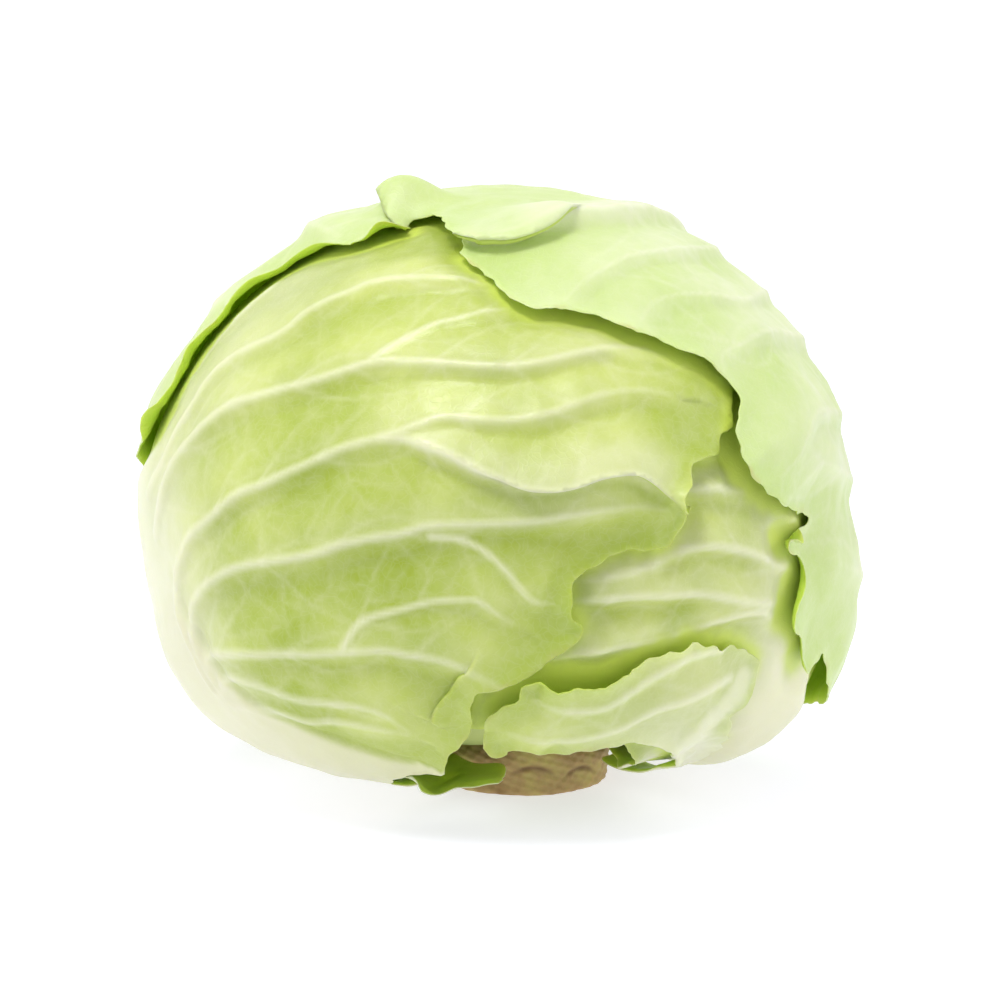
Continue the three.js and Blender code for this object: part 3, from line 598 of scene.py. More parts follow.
def make_leaf(leaf, above, material):
    chart, outline = leaf["chart"], leaf["outline"]
    low, high = outline.min(0), outline.max(0)
    step = leaf["step"]
    rows = np.arange(math.floor(low[1] / (0.866 * step)), math.ceil(high[1] / (0.866 * step)))
    columns = np.arange(math.floor(low[0] / step) - 1, math.ceil(high[0] / step) + 1)
    row, column = np.meshgrid(rows, columns, indexing="ij")
    grid = np.stack([(column + 0.5 * (row & 1)) * step, row * 0.866 * step], axis=-1).reshape(-1, 2)
    coarse = ((row % 4 == 0) & (column % 4 == 0)).ravel()
    keep = inside_outline(grid, outline) & (np.linalg.norm(grid, axis=1) < 1.98 * SPHERE)
    grid, coarse = grid[keep], coarse[keep]
    places = from_chart(grid, chart)
    gap = near_path(places, leaf["edge"], True)[0]
    shown = openness(places, above) > COVERED_RELIEF + 0.01 if above else np.ones(len(grid), bool)
    wanted = (gap > 0.6 * step) & (shown | coarse | (gap < 3 * step))
    count = len(outline)
    edges = [(i, (i + 1) % count) for i in range(count)]
    lines = crease_lines(leaf)
    for line in lines:
        nearest = np.min(np.linalg.norm(grid[:, None] - line, axis=2), axis=1)
        wanted &= nearest > 0.55 * step
        edges += [(count + i, count + i + 1) for i in range(len(line) - 1)]
        count += len(line)
    flat = [Vector(p) for p in np.concatenate([outline, *lines, grid[wanted]])]
    flat, _, triangles, _, _, _ = delaunay_2d_cdt(flat, edges, [], 1, 1e-7, False)
    flat = np.array(flat)
    triangles = np.array(triangles)
    triangles = triangles[inside_outline(flat[triangles].mean(1), outline)]
    used, triangles = np.unique(triangles, return_inverse=True)
    flat, triangles = flat[used], triangles.reshape(-1, 3)
    a, b, c = (flat[triangles[:, k]] for k in range(3))
    turned = (b - a)[:, 0] * (c - a)[:, 1] - (b - a)[:, 1] * (c - a)[:, 0] < 0
    triangles[turned] = triangles[turned][:, ::-1]

    d = from_chart(flat, chart)
    open_here = openness(d, above)
    height, solid, marks = relief(d, leaf)
    distance, along, _, edge = near_path(d, leaf["edge"], True)
    around = len(leaf["edge"]) * MARGIN_STEP
    frill = sum(size * np.sin(2 * math.pi * round(around / period) * along + start)
                for period, start, size in leaf["frills"])
    in_open = smoothstep(open_here, 0.6, 1) * (1 - smoothstep(-d[:, 2], *STEM_SIDE))
    frill = leaf["frill"] * (frill + 2) / 2 * np.exp(-distance / FRILL_WIDE) * in_open
    settle = leaf.get("settle", 0) * np.exp(-(distance / SETTLE_WIDE) ** 2) * in_open
    height = height - settle / np.maximum(open_here, COVERED_RELIEF)
    for place_round, place_up, spread, depth in leaf.get("sinks", []):
        far = np.linalg.norm(d - direction(place_round, place_up), axis=1) * SPHERE
        height = height - depth * np.exp(-(far / spread) ** 2)
    reach, turn = roll(d, leaf, edge)
    turn = turn * (0.3 + 0.7 * in_open)
    out = outwards(d)
    aside = outwards(edge) - out
    aside -= out * (aside * out).sum(1)[:, None]
    long = np.linalg.norm(aside, axis=1, keepdims=True)
    rim = long[:, 0] < 2e-4
    if rim.any():
        tangent = np.roll(leaf["edge"], -1, axis=0) - np.roll(leaf["edge"], 1, axis=0)
        normals = unit(np.cross(tangent, leaf["edge"]))
        at = np.minimum((along[rim] * len(leaf["edge"])).astype(int), len(leaf["edge"]) - 1)
        aside[rim] = outwards(normals[at])
        long[rim] = np.linalg.norm(aside[rim], axis=1, keepdims=True)
    aside = aside / np.maximum(long, 1e-9)
    past = np.maximum(reach - distance, 0)
    bend = reach / turn
    angle = past / bend
    moved, raised = pleat(d, leaf)
    thick = BLADE * (0.45 + 0.55 * smoothstep(distance, 0, 1.6))

    def surface(depth, rib):
        lift = leaf["lift"] + open_here * height + frill + rib * open_here
        sideways = (bend + depth) * np.sin(angle) - past
        upwards = bend - (bend + depth) * np.cos(angle) + depth
        place = on_head(d, lift - depth + raised) + moved
        return place + aside * sideways[:, None] + out * upwards[:, None]

    outer, inner = surface(0 * thick, solid), surface(thick, 0 * solid)
    loops = np.concatenate([triangles[:, [0, 1]], triangles[:, [1, 2]], triangles[:, [2, 0]]])
    known = {(int(s), int(e)) for s, e in loops}
    rim_edges = [(s, e) for s, e in known if (e, s) not in known]
    rim_edges.sort()
    rim_points = sorted({s for s, _ in rim_edges})
    total = len(d)
    number = {p: 2 * total + i for i, p in enumerate(rim_points)}
    push = aside * np.cos(angle)[:, None] + out * np.sin(angle)[:, None]
    middle = ((outer + inner) / 2 + 0.22 * push)[rim_points]
    vertices = np.concatenate([outer, inner, middle]) * MM
    faces = triangles.tolist() + (triangles[:, ::-1] + total).tolist()
    for s, e in rim_edges:
        faces.append([s, number[s], number[e], e])
        faces.append([number[s], s + total, e + total, number[e]])
    mesh = bpy.data.meshes.new(leaf["name"])
    mesh.from_pydata(vertices.tolist(), [], faces)
    mesh.validate()
    marks["edge"] = np.exp(-distance / 2.5)
    marks["pale"] = pale_of(d, leaf)
    marks["fold"] = marks["fold"] / 3
    marks["inside"] = np.zeros(total)
    # Painted shade: at the listed spots, where the leaves or folds over this one shade it, the colour
    # is pulled to the deeper green.
    marks["deep_shade"] = np.zeros(total)
    for place_round, place_up, spread in leaf.get("shade_spots", []):
        far = np.linalg.norm(d - direction(place_round, place_up), axis=1) * SPHERE
        marks["deep_shade"] = np.maximum(marks["deep_shade"], np.exp(-(far / spread) ** 2))
    # Painted shade: next to and under the edges of the leaves above, the colour turns to the green of
    # shade lit through the leaves.
    marks["shade_under_leaves"] = 1 - (open_here - COVERED_RELIEF) / (1 - COVERED_RELIEF)
    for name, values in marks.items():
        inner_values = np.ones(total) if name == "inside" else values
        layer = mesh.attributes.new(name, "FLOAT", "POINT")
        layer.data.foreach_set("value", np.concatenate([values, inner_values, values[rim_points]]))
    mesh.shade_smooth()
    piece = bpy.data.objects.new(leaf["name"] + "_blade", mesh)
    bpy.context.collection.objects.link(piece)
    mesh.materials.append(material)
    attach(piece, "root")
    if not leaf.get("added"):
        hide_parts(leaf["name"])


def leaf_skin(name, blade, deep_shade, white, gloss, veined):
    """Waxy leaf tissue: green between the veins, paler along them and at the foot, with painted shade
    in the fold valleys, at listed spots, under the edges of the leaves above and on the inner face,
    and painted light on the fold crests.
    """
    material = bpy.data.materials.new(name)
    material.use_nodes = True
    nodes, links = material.node_tree.nodes, material.node_tree.links
    skin = nodes["Principled BSDF"]
    skin.inputs["Subsurface Weight"].default_value = 0.35
    skin.inputs["Subsurface Radius"].default_value = (0.8, 1.0, 0.35)
    skin.inputs["Subsurface Scale"].default_value = 0.003
    skin.inputs["IOR"].default_value = 1.42
    place = nodes.new("ShaderNodeTexCoord")

    def attribute(of):
        return ink(nodes, "ShaderNodeAttribute", attribute_name=of).outputs["Fac"]

    def spread(value, low, high, to_low=0.0, to_high=1.0):
        node = nodes.new("ShaderNodeMapRange")
        node.inputs["From Min"].default_value = low
        node.inputs["From Max"].default_value = high
        node.inputs["To Min"].default_value = to_low
        node.inputs["To Max"].default_value = to_high
        links.new(value, node.inputs["Value"])
        return node.outputs["Result"]

    def mix(factor, first, second):
        node = ink(nodes, "ShaderNodeMix", data_type="RGBA")
        for socket, value in (("Factor", factor), ("A", first), ("B", second)):
            if isinstance(value, tuple):
                node.inputs[socket].default_value = value
            else:
                links.new(value, node.inputs[socket])
        return node.outputs["Result"]

    def sums(kind, first, second):
        node = ink(nodes, "ShaderNodeMath", operation=kind)
        for socket, value in ((0, first), (1, second)):
            if isinstance(value, float):
                node.inputs[socket].default_value = value
            else:
                links.new(value, node.inputs[socket])
        return node.outputs["Value"]

    def noise(scale, detail=4.0):
        node = ink(nodes, "ShaderNodeTexNoise", Scale=scale, Detail=detail)
        links.new(place.outputs["Object"], node.inputs["Vector"])
        return node.outputs["Fac"]

    cells = ink(nodes, "ShaderNodeTexVoronoi", Scale=420.0, feature="DISTANCE_TO_EDGE")
    warp = ink(nodes, "ShaderNodeTexNoise", Scale=160.0, Detail=2.0)
    warped = ink(nodes, "ShaderNodeVectorMath", operation="MULTIPLY_ADD")
    links.new(place.outputs["Object"], warp.inputs["Vector"])
    warped.inputs[1].default_value = (0.006, 0.006, 0.006)
    links.new(warp.outputs["Color"], warped.inputs[0])
    links.new(place.outputs["Object"], warped.inputs[2])
    links.new(warped.outputs["Vector"], cells.inputs["Vector"])
    net = spread(cells.outputs["Distance"], 0.0, 0.09, 1.0, 0.0)

    blotches = spread(noise(26.0), 0.4, 0.62, 0.0, 0.7)
    fine = spread(noise(240.0), 0.3, 0.7, 0.0, 0.12)
    # Deeper green in random blotches, which are the blade's own tone, and at the painted shade spots.
    green = mix(sums("MAXIMUM", blotches, sums("MULTIPLY", attribute("deep_shade"), 0.95)), blade, deep_shade)
    # Deeper green away from the fold crests, partly the blade's own colour and partly painted shade in
    # the valleys; paler on the crests, painted light.
    green = mix(spread(attribute("fold"), 0.0, 0.5, 0.65, 0.0), green, deep_shade)
    green = mix(spread(attribute("fold"), 0.5, 1.4, 0.0, 0.35), green, white)
    green = mix(fine, green, white)
    green = mix(sums("MULTIPLY", net, 0.06), green, white)
    green = mix(sums("MULTIPLY", attribute("vein"), veined), green, white)
    pale = mix(spread(attribute("pale"), 0.0, 1.0, 0.0, 0.85), green, white)
    ribbed = mix(spread(attribute("rib"), 0.1, 1.0, 0.0, 0.6), pale, white)
    ribbed = mix(sums("MULTIPLY", attribute("foot"), 0.8), ribbed, CREAM)
    # Painted shade under the edges of the leaves above.
    ribbed = mix(sums("MULTIPLY", sums("POWER", attribute("shade_under_leaves"), 4.0), 0.85), ribbed, SHADE_UNDER_LEAVES_GREEN)
    # Painted shade: the inner face, seen where the margins roll, takes the dark green of shade.
    ribbed = mix(sums("MULTIPLY", attribute("inside"), 0.85), ribbed, UNDERSIDE_IN_SHADE)
    speck = sums("MULTIPLY", spread(noise(110.0), 0.55, 0.75), spread(attribute("edge"), 0.55, 1.0))
    edged = mix(sums("MULTIPLY", speck, 0.6), ribbed, BROWNED)
    links.new(edged, skin.inputs["Base Color"])
    links.new(spread(noise(90.0), 0.3, 0.7, gloss - 0.06, gloss + 0.08), skin.inputs["Roughness"])

    bump = ink(nodes, "ShaderNodeBump", Strength=0.4, Distance=0.0002)
    grain = sums("ADD", sums("MULTIPLY", net, 0.25), sums("MULTIPLY", noise(900.0, 3.0), 0.35))
    links.new(sums("ADD", grain, sums("MULTIPLY", noise(300.0), 0.8)), bump.inputs["Height"])
    links.new(bump.outputs["Normal"], skin.inputs["Normal"])
    return material


green_leaf = leaf_skin("green_leaf", GREEN_BLADE, GREEN_DEEP, GREEN_WHITE, 0.38, 0.26)
back_leaf = prepare_leaf({
    "name": "leaf_back",
    "lift": INNERMOST,
    "middle": (180, 0),
    "step": 2.2,
    "seed": 11,
    "ragged": 1.6,
    "wave": 0.2,
    "frill": 0.8,
    "curl": (6, 20),
    "curls": [],
    "pale": (6, 26),
    "margin": clasp(INNERMOST, 130, 230) + [
        (-112, -52), (-98, -30), (-92, -5), (-94, 22), (-104, 44), (-130, 60), (180, 66), (130, 60),
        (104, 42), (95, 18), (94, -8), (100, -32), (112, -52)],
    "ribs": [
        {"high": 1.6, "wide": 6, "broad": True, "tip": 0.35, "path": [
            (180, -64), (180, -35), (180, 0), (180, 40)]},
        {"high": 0.8, "path": [(180, -45), (160, -30), (145, -12), (132, 8)]},
        {"high": 0.8, "path": [(180, -45), (-160, -30), (-145, -12), (-132, 8)]},
    ],
})


# Right leaf: a pale wrapper leaf that shows at the lower right. Its broad white rib runs
# up the right side, and its side ribs run from there to the left, under the leaves on it.
PALE_BLADE = (0.52, 0.60, 0.15, 1)
PALE_DEEP = (0.30, 0.39, 0.02, 1)
PALE_WHITE = (0.77, 0.775, 0.56, 1)
LIFT_RIGHT = INNERMOST + LAYER
SIDE_FOLD = {"high": 0.9, "fold": 2.3, "gentle": 7, "steep": 2.8, "over": -1}
pale_leaf = leaf_skin("pale_leaf", PALE_BLADE, PALE_DEEP, PALE_WHITE, 0.36, 0.2)
right_leaf = prepare_leaf({
    "name": "leaf_right",
    "lift": LIFT_RIGHT,
    "middle": (42, -5),
    "step": 1.0,
    "seed": 23,
    "ragged": 1.2,
    "wave": 0.2,
    "frill": 0.8,
    "curl": (5, 15),
    "curls": [],
    "pale": (12, 38),
    "shade_spots": [(14, -10, 9), (28, -16, 6), (38, 6, 8), (10, -26, 9)],
    "foot": (1, 14, 60, [
        (56, 14), (54, 4), (52, -6), (50, -16), (46, -26), (40, -36), (34, -45), (28, -52)]),
    "margin": clasp(LIFT_RIGHT, 60, 118) + [
        (112, -52), (122, -32), (126, -5), (120, 22), (100, 42), (68, 54), (35, 56), (5, 52),
        (-20, 42), (-36, 26), (-44, 5), (-42, -16), (-34, -29), (-20, -31.5), (-4, -32.5), (8, -34),
        (18, -37), (25, -44), (29, -51), (33, -58), (42, -63)],
    "ribs": [
        {"high": 2.8, "wide": 15, "broad": True, "tip": 0.35, "path": [
            (60, -66), (63, -52), (66, -38), (66, -22), (64, -5), (62, 12), (60, 30)]},
        {**SIDE_FOLD, "path": [
            (64, -12), (54, -3), (46, 1), (40.5, 2.5), (37.5, 3.3), (30.5, 4.5), (20, 8)]},
        {**SIDE_FOLD, "path": [
            (65, -19), (50.7, -11.5), (46, -9.5), (41.5, -7.5), (37.3, -6), (33.6, -5.2),
            (30.2, -5), (23.5, -6.8), (18, -7.5), (8, -8)]},
        {**SIDE_FOLD, "path": [
            (66, -25), (48, -17), (41.3, -15.2), (37.3, -14), (33.7, -12.8), (30.2, -12),
            (26.8, -11.7), (20, -10.8), (15, -10.8), (6, -11.5)]},
        {**SIDE_FOLD, "high": 0.8, "path": [
            (66, -30), (45, -17.5), (36.5, -17.3), (31, -18.6), (27.2, -19.2), (21.2, -19.3),
            (16.6, -19), (12.2, -19), (4, -20.5)]},
    ],
})


# Left leaf: the big pale wrapper leaf that makes the front and left of the head. Its broad
# white rib runs up the left side, and long ribs run from it to the right, each the crest
# of a soft fold. Its right edge is torn in steps, with one fold hanging over its own shade.
LIFT_LEFT = INNERMOST + 2 * LAYER
left_leaf = prepare_leaf({
    "name": "leaf_left",
    "lift": LIFT_LEFT,
    "middle": (-55, 4),
    "step": 1.0,
    "seed": 5,
    "ragged": 1.0,
    "wave": 0.25,
    "frill": 0.5,
    "curl": (4, 18),
    "curls": [(29, 3, 5, 2, 90), (39, 11, 7, 2, 25), (10, -12, 7, 2, 25), (-8, -25, 6, 2, 30)],
    "pleats": [
        {"path": [
            (-8, 14), (-2.5, 11), (0.2, 10), (4.5, 8.5), (10, 8.4), (15.3, 9.4), (20.5, 9.2),
            (23.5, 7.6), (27.5, 4.3), (31, 1.5)],
         "over": 1, "slide": 2.8, "rise": 1.5, "spread": 7,
         "fade_in": (0.05, 0.45), "fade_out": (1.0, 1.1)},
        {"path": [(-7, -20), (-9, -23), (-12, -26), (-12.6, -28), (-11, -30.5)],
         "over": 1, "slide": 2.4, "rise": 1.6, "spread": 5,
         "fade_in": (-0.05, 0.02), "fade_out": (0.7, 1.0)},
        {"path": [(-23, -22), (-17.5, -24.6), (-12.8, -27.4)],
         "over": 1, "slide": 1.5, "rise": 1.2, "spread": 4,
         "fade_in": (0.1, 0.7), "fade_out": (0.95, 1.05)},
    ],
    "pale": (10, 46),
    "settle": 0.9,
    "shade_spots": [
        (-18, -4, 24), (-30, 12, 16), (2, 4, 18), (-36, -14, 14), (-14, -14, 12), (-38, -24, 10)],
    "foot": (-1, 3, 30, [
        (-66, -2), (-63, -8), (-59, -14), (-54, -20.5), (-47.5, -25.5), (-40, -28.5),
        (-33.5, -31.5), (-27.5, -34), (-22, -37)]),
    "margin": clasp(LIFT_LEFT, -128, -46) + [
        (-38, -56), (-33, -47), (-28, -42.5), (-22, -41), (-16, -40), (-14.5, -37), (-12, -34),
        (-9.8, -31.5), (-7, -27.5), (-6.5, -25), (-5.2, -22.7), (-4, -23), (-1.7, -22.7),
        (0.2, -21.9), (2.7, -20.8), (5, -19.6), (7.3, -18.4), (9.2, -17), (11.1, -15.4),
        (11.2, -14.5), (9.7, -12.3), (9.9, -9.4), (10.3, -7), (13.4, -5.5), (15.7, -4.6),
        (18.3, -3.7), (21.7, -3.8), (26.3, -3.8), (28.5, -0.8), (30, 1), (29.5, 4.2), (30.5, 5.5),
        (31, 7.5), (32, 8.5), (34.5, 9), (37.5, 9), (38, 10), (39, 11.5), (42, 12.5), (43, 14),
        (46, 18), (50, 28), (48, 40), (40, 53), (22, 65), (-20, 76), (-80, 80), (-120, 71),
        (-138, 52), (-147, 30), (-150, 5), (-144, -20), (-134, -40), (-128, -54)],
    "ribs": [
        {"high": 3.0, "wide": 16, "broad": True, "tip": 0.3, "path": [
            (-68, -65), (-72, -50), (-76, -34), (-78, -15), (-78, 5), (-77, 25), (-74, 45)]},
        {"high": 1.0, "path": [
            (-72, 6), (-66, 13), (-63, 19), (-58, 29), (-52, 32), (-45, 35), (-41, 39.5), (-30, 45),
            (-22, 47), (-7, 46.5), (4, 45.5), (12, 43)]},
        {"high": 1.2, "fold": 2.0, "path": [
            (-70, 0), (-63, 10), (-56, 17), (-49.5, 21.7), (-43.5, 23.5), (-36.5, 25.2),
            (-29.5, 27), (-26.5, 28), (-20, 29.5), (-9.5, 28.7), (0.8, 27.3), (6.3, 27),
            (13.5, 27.6), (21.5, 28.3), (29.5, 28), (36.5, 25.3), (43.5, 21.5)]},
        {"high": 0.7, "narrow": 1.1, "fold": 1.0, "path": [
            (-21, 30), (-15.5, 34), (-10, 36.5), (-5, 37.5), (2, 38.8), (9, 40)]},
        {"high": 1.4, "fold": 1.7, "path": [
            (-60, -24), (-62, -17), (-63.5, -11.5), (-62.5, -7), (-59.5, -2.5), (-55.5, 1.3),
            (-49.5, 4.5), (-43, 8.5), (-38.5, 9.8), (-31, 12.7), (-25.3, 15), (-21, 16.2),
            (-17, 17), (-12, 18.5), (-8, 19.5), (-1, 18.6), (5, 18.3), (10, 18.8), (14.2, 19.8),
            (18.8, 20.7), (26, 20.6), (31, 19.2)]},
        {"high": 1.1, "fold": 3.4, "steep": 2.6, "gentle": 8, "tip": 0.7, "path": [
            (-18, 16.8), (-14, 16.5), (-9.3, 14.7), (-5.5, 12.8), (-2.5, 11), (0.2, 10), (4.5, 8.5),
            (10, 8.4), (15.3, 9.4), (20.5, 9.2), (23.5, 7.6), (27.5, 4.3)]},
        {"high": 1.3, "fold": 1.9, "path": [
            (-58, -23), (-60, -17.8), (-60, -14), (-58.7, -10.8), (-55.5, -7.8), (-50, -4.8),
            (-43.7, -2.7), (-37, -1.6), (-29.8, -0.5), (-24.5, 1), (-19.3, 1.9), (-14.7, 2.4),
            (-11.2, 3.3), (-4.5, 3.2), (-0.5, 3), (5.6, 2.8), (11, 3.1), (16.3, 3.2), (22, 2.8),
            (26, 1.8)]},
        {"high": 0.9, "narrow": 1.2, "fold": 1.2, "path": [
            (-10.5, 1.5), (-6, 0.8), (-2.3, -1.6), (0.5, -4.8), (1.5, -6.5), (4, -9.5),
            (7, -10.5)]},
        {"high": 0.8, "narrow": 1.2, "fold": 1.2, "path": [
            (-27, -15.5), (-25.5, -13.5), (-23, -11), (-18.8, -9.8), (-14.6, -9), (-11.3, -8.3),
            (-7.2, -8.3), (-4.3, -8.6), (-2.3, -10.4), (0.7, -13)]},
        {"high": 1.0, "fold": 1.6, "path": [
            (-59, -21), (-57, -18), (-49.5, -16.8), (-40.5, -16.2), (-32.5, -15.9), (-27.2, -15.6),
            (-20.5, -15.3), (-16, -16), (-11.2, -17), (-6.5, -19.2), (-3.8, -21.3), (-1.5, -22.8)]},
        {"high": 0.8, "fold": 1.2, "path": [
            (-58, -24), (-52.5, -21), (-45, -22), (-37.5, -23.5), (-30.3, -24), (-23, -25.3),
            (-20.5, -27.5), (-19, -29.5)]},
        {"high": 0.7, "fold": 1.0, "path": [
            (-56, -27), (-50, -26), (-43.5, -26.8), (-37.5, -27.7), (-31, -27.5), (-24.5, -28.5),
            (-19, -30)]},
    ],
})


# Torn leaf: what is left of an outer leaf at the front, broken off short above the stem. It is
# a thin ragged flap that lies close on the right leaf, held by its stalk at the right.
LIFT_TORN = INNERMOST + 2 * LAYER - 0.2
torn_leaf = prepare_leaf({
    "name": "leaf_torn",
    "lift": LIFT_TORN,
    "middle": (20, -32),
    "step": 0.9,
    "seed": 31,
    "ragged": 1.8,
    "wave": 0.2,
    "frill": 0.9,
    "curl": (5, 28),
    "curls": [(8, -22, 9, 3, 30)],
    "pale": (5, 40),
    "settle": 1.4,
    "sinks": [(44, -22, 12, 2.6), (47, -50, 12, 1.4), (25, -21, 12, 1.2)],
    "margin": clasp(LIFT_TORN, 52, 74) + [
        (53, -55), (49, -47), (45, -40), (42.5, -35), (45.5, -30.5), (45.5, -26), (39, -22.5),
        (33, -20.5), (26.8, -20.2), (21, -21.5), (16.5, -22.5), (12.5, -23.3), (8.7, -22.4),
        (5, -21.8), (3.2, -21.5), (0.6, -23.5), (-2, -25.5), (-4.4, -27), (-6, -30.3),
        (-5.4, -35.8), (-3.5, -36.3), (-1.8, -35), (2, -35.2), (5.2, -36.2), (12.5, -36.8),
        (19.5, -36.3), (26, -38.5), (32, -41.5), (37, -46.5), (41, -53)],
    "ribs": [
        {"high": 1.4, "wide": 6, "broad": True, "tip": 0.5, "path": [
            (32, -64), (34, -50), (38, -36), (43, -28.5)]},
        {"high": 0.8, "over": -1, "path": [
            (39.5, -27.8), (34.8, -28), (30, -29), (25.7, -29.7), (21.5, -30.8), (17.5, -32.5),
            (13, -33), (3.8, -32.5), (-1.8, -31.3)]},
        {"high": 0.8, "over": -1, "path": [
            (36, -22), (30.3, -22), (25, -23.7), (19.7, -25.8), (14.3, -27.7), (8.2, -27.3),
            (2.7, -25.2)]},
    ],
})


# Scrap: the green foot of an outer leaf that was pulled off. It still clings to the stem and
# shows as a curled rag under the left leaf.
scrap = prepare_leaf({
    "name": "leaf_scrap",
    "added": True,
    "lift": LIFT_RIGHT + 0.6,
    "middle": (-20, -42),
    "step": 0.9,
    "seed": 71,
    "ragged": 1.6,
    "wave": 0.3,
    "frill": 1.0,
    "curl": (5, 35),
    "curls": [(-33, -46, 5, 2, 30), (-20, -52, 6, 2, 25)],
    "pale": (0.5, 6),
    "margin": clasp(LIFT_RIGHT + 0.6, -48, -12) + [
        (-8, -58), (-8, -53), (-12, -50.5), (-16, -51), (-20, -52.5), (-24, -50), (-28, -46.5),
        (-31, -47.5), (-36, -49), (-36, -45), (-33, -40), (-37, -37), (-44, -38), (-50, -45),
        (-52, -54)],
    "ribs": [
        {"high": 0.8, "path": [(-32, -62), (-28, -55), (-24, -50)]},
        {"high": 0.6, "path": [(-36, -58), (-34, -52), (-33, -45)]},
    ],
})


# Cap leaf: the greenest and outermost leaf. It grows up the back and lies over the top and
# right side, with a pleat across the top and a torn, curled edge towards the front.
LIFT_CAP = INNERMOST + 3 * LAYER
CAP_FOLD = {"high": 0.7, "fold": 1.1, "narrow": 1.1, "over": -1}
cap_leaf = prepare_leaf({
    "name": "leaf_cap",
    "lift": LIFT_CAP,
    "middle": (140, 36),
    "step": 1.2,
    "seed": 47,
    "ragged": 1.2,
    "wave": 0.3,
    "frill": 0.7,
    "curl": (4, 14),
    "settle": 2.0,
    "curls": [
        (-31, 69, 6, 2, -60), (-40, 62, 4, 1, 40), (33, 30, 20, 4, 16), (52, -5.5, 3.5, 2, 110),
        (53, -14, 5, 1, 50), (51.5, -20, 5, 1, 30), (58, -29, 4, 1, 50), (-76, 17, 5, 2, 60),
        (-76, 27, 10, 1, 45), (-79, 42, 12, 1, 45), (-66, 56, 9, 1, 45)],
    "sinks": [
        (-76, 30, 14, 1.2), (-76, 48, 14, 1.4), (-55, 57, 10, 1.2), (-55, 76, 7, -7.4),
        (-4, 56, 10, 0.8), (6, 44, 10, 0.7), (57, -8, 13, 4.2), (62, -24, 13, 4.2)],
    "pleats": [
        {"path": [
            (-12, 62), (-5, 59.5), (2, 57.3), (9, 56), (16, 56.8), (24, 59), (36, 61.5), (52, 63)],
         "over": 1, "slide": 4.6, "rise": 3.4, "spread": 11,
         "fade_in": (-0.05, -0.01), "fade_out": (0.5, 1.0)},
        {"path": [(-36, 64), (-45, 69.5), (-62, 73), (-84, 74), (-108, 73)],
         "over": -1, "slide": 3.6, "rise": 1.6, "spread": 6,
         "fade_in": (0.03, 0.28), "fade_out": (0.5, 1.0)},
    ],
    "pale": (4, 16),
    "pale_end": 1.0,
    "shade_spots": [(6, 50, 10), (45, 2, 8), (60, 20, 10), (-30, 66, 8), (-10, 63, 8)],
    "margin": clasp(LIFT_CAP, 148, 212) + [
        (-150, -50), (-140, -36), (-126, -16), (-112, -2), (-96, 7), (-84, 12), (-76, 15),
        (-75, 19), (-75.5, 25), (-76.5, 31), (-78, 37), (-79, 43), (-78, 48.5), (-73, 53),
        (-64, 56.3), (-55, 57.8), (-47, 59.5), (-40, 62), (-36, 64), (-32, 65.3), (-34, 67.5),
        (-33, 70), (-27, 70.5), (-18, 69), (-11, 66.5), (-7, 63), (-5, 59.5), (-5, 56), (-4, 52.3),
        (2.2, 46.8), (5.5, 41), (10.5, 37.5), (15, 36.8), (19.7, 35), (22.6, 34), (25, 32),
        (28, 30), (30.5, 29), (33.5, 27.3), (36.5, 25.5), (39.5, 23.6), (42, 21.5), (44, 18.8),
        (44.3, 16), (42.5, 13.5), (40.8, 11), (40.5, 7.5), (41.8, 4.5), (45, 1.5), (48.5, -1),
        (52, -3), (55, -3.8), (58.5, -4.6), (60, -5.6), (58.5, -6.6), (56, -6.6), (52.5, -5.6),
        (50, -6.6), (50.5, -9), (54, -10.5), (55.5, -12.2), (53, -14.5), (51, -17.5), (50.5, -20.5),
        (53, -22.3), (55.5, -24), (57, -26.5), (58, -29.5), (61, -29.5), (66, -28), (72, -34),
        (92, -42), (114, -50), (136, -56)],
    "ribs": [
        {"high": 2.4, "wide": 9, "broad": True, "tip": 0.1, "path": [
            (180, -64), (178, -42), (175, -18), (171, 8), (166, 30), (158, 50), (135, 66)]},
        {"high": 0.6, "fold": 2.6, "steep": 3.5, "gentle": 9, "over": -1, "path": [
            (150, 42), (118, 46), (95, 56), (50, 60.5), (31, 61.5), (12, 58.5), (6, 58)]},
        {**CAP_FOLD, "high": 0.8, "fold": 1.2, "path": [
            (160, 24), (128, 34), (92, 44), (60, 47), (46, 46.7), (38.5, 46.3), (31, 44.3),
            (22.5, 41.5), (17.2, 38.4)]},
        {**CAP_FOLD, "high": 0.8, "fold": 1.2, "path": [
            (166, 10), (130, 20), (96, 31), (66, 33), (56, 34.7), (46, 36), (39.7, 36), (35, 35),
            (31, 32.3)]},
        {**CAP_FOLD, "path": [
            (168, 4), (132, 10), (98, 20), (70, 26), (60, 26), (51, 25), (45.5, 24), (43.5, 20)]},
        {**CAP_FOLD, "path": [
            (172, -8), (136, -4), (100, 5), (78, 9), (69.5, 10.5), (64, 10.8), (59, 9), (54.5, 6),
            (48, 3)]},
        {**CAP_FOLD, "fold": 1.0, "path": [
            (175, -22), (140, -20), (108, -10), (84, -3), (69, 1), (62, 3), (58.5, 1.5), (54, 0)]},
        {**CAP_FOLD, "fold": 1.0, "path": [
            (178, -34), (146, -36), (116, -30), (90, -20), (68, -14)]},
        {"high": 0.9, "path": [(166, 14), (-168, 34), (-140, 48), (-100, 58), (-60, 60)]},
        {"high": 0.8, "path": [(171, -4), (-164, 10), (-138, 24), (-110, 34), (-88, 38)]},
        {"high": 0.8, "path": [(176, -26), (-160, -12), (-136, 0), (-112, 10), (-94, 16)]},
    ],
})


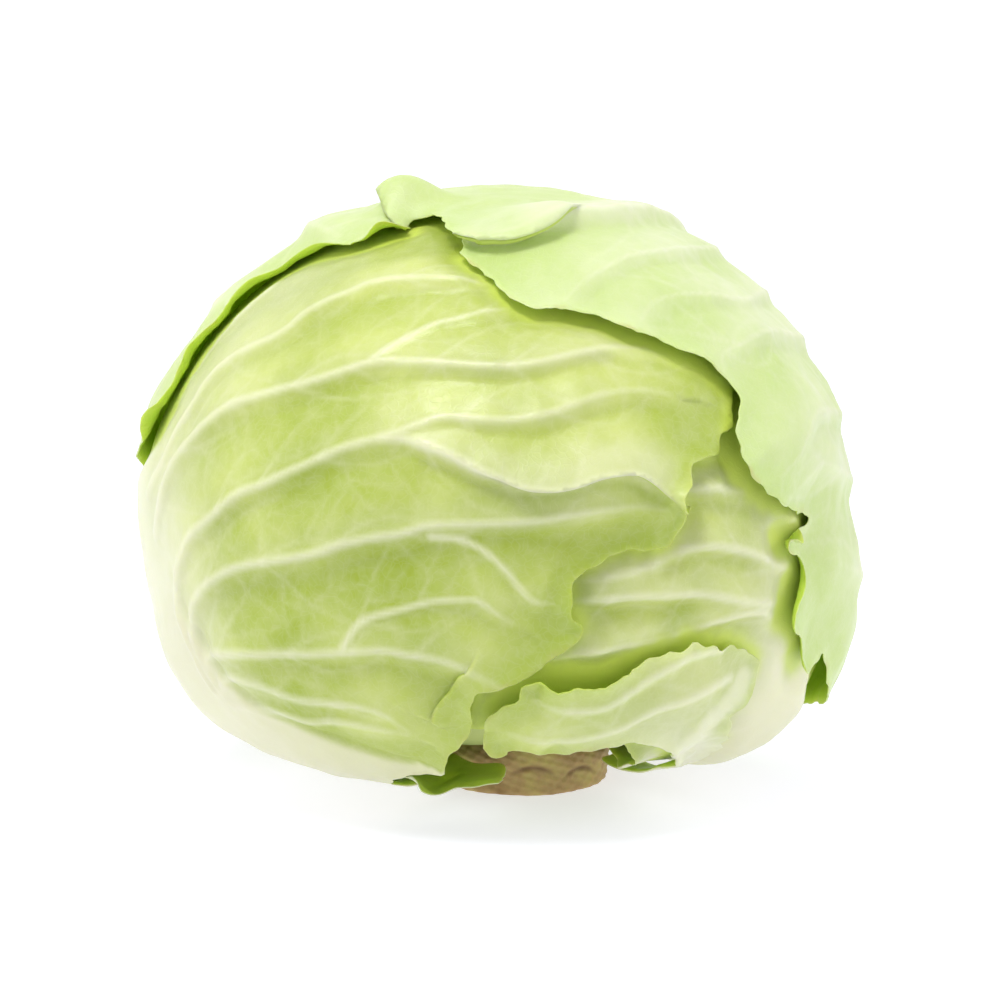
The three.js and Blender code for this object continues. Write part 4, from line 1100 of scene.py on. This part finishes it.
# Wrapping: the leaves are laid on from the inside out. Where a leaf lies under others its folds
# are pressed flat, so each is shaped once the leaves over it are known.
make_leaf(back_leaf, [right_leaf, left_leaf, cap_leaf], green_leaf)
make_leaf(right_leaf, [left_leaf, torn_leaf, cap_leaf], pale_leaf)
make_leaf(left_leaf, [cap_leaf], pale_leaf)
make_leaf(torn_leaf, [], pale_leaf)
make_leaf(scrap, [left_leaf], green_leaf)
make_leaf(cap_leaf, [], green_leaf)


# Studio: the head stands on a plain pale floor that lifts its own shadow a little, in soft
# light from above and both sides, seen from a little above.
FLOOR_SIZE = 12
FLOOR_WHITE = (0.50, 0.50, 0.62, 1)
FLOOR_GLOW = 0.6
AIR_LIGHT = (-0.9, 0.3, 0.54, 0.95)
AIR_BACKDROP = (0.86, 0.95, 0.0, 0.15)
AIM = Vector((-0.006, 0.0, 0.0748))
LAMPS = [("top_lamp", (-0.25, -0.4, 1.0), 0.4, 5.8), ("left_lamp", (-1.1, -0.4, 0.5), 0.8, 2.2),
         ("right_lamp", (1.1, -0.3, 0.5), 0.8, 3.4)]
CAMERA_UP = math.radians(9)
CAMERA_FAR = 0.85

bpy.ops.object.select_all(action="DESELECT")
bpy.ops.mesh.primitive_plane_add(size=FLOOR_SIZE, location=(0, 0, 0))
floor = bpy.context.object
floor.name = "floor"
floor_paint = bpy.data.materials.new("floor_paint")
floor_paint.use_nodes = True
paint = floor_paint.node_tree.nodes["Principled BSDF"]
paint.inputs["Base Color"].default_value = FLOOR_WHITE
paint.inputs["Roughness"].default_value = 0.9
paint.inputs["Emission Color"].default_value = (1, 1, 1, 1)
paint.inputs["Emission Strength"].default_value = FLOOR_GLOW
floor.data.materials.append(floor_paint)

world = bpy.data.worlds.new("studio_air")
bpy.context.scene.world = world
world.use_nodes = True
air, air_links = world.node_tree.nodes, world.node_tree.links
air["Background"].inputs["Color"].default_value = (1, 1, 1, 1)
facing = air.new("ShaderNodeTexCoord")
facing_y = air.new("ShaderNodeSeparateXYZ")
brightness = ink(air, "ShaderNodeMapRange")
backdrop = ink(air, "ShaderNodeMapRange")
both = ink(air, "ShaderNodeMath", operation="ADD")
for node, ends in ((brightness, AIR_LIGHT), (backdrop, AIR_BACKDROP)):
    for socket, value in zip(("From Min", "From Max", "To Min", "To Max"), ends):
        node.inputs[socket].default_value = value
    air_links.new(facing_y.outputs["Y"], node.inputs["Value"])
air_links.new(facing.outputs["Generated"], facing_y.inputs["Vector"])
air_links.new(brightness.outputs["Result"], both.inputs[0])
air_links.new(backdrop.outputs["Result"], both.inputs[1])
air_links.new(both.outputs["Value"], air["Background"].inputs["Strength"])
for name, spot, size, power in LAMPS:
    bpy.ops.object.light_add(type="AREA", location=spot)
    lamp = bpy.context.object
    lamp.name = name
    lamp.data.shape = "DISK"
    lamp.data.size = size
    lamp.data.energy = power
    lamp.rotation_euler = (AIM - Vector(spot)).to_track_quat("-Z", "Y").to_euler()
bpy.context.scene.view_settings.view_transform = "Standard"

bpy.ops.object.camera_add(
    location=AIM + Vector((0, -math.cos(CAMERA_UP), math.sin(CAMERA_UP))) * CAMERA_FAR,
    rotation=(math.radians(90) - CAMERA_UP, 0, 0))
camera = bpy.context.object
camera.data.lens = 115.5
camera.data.sensor_width = 36
bpy.context.scene.camera = camera
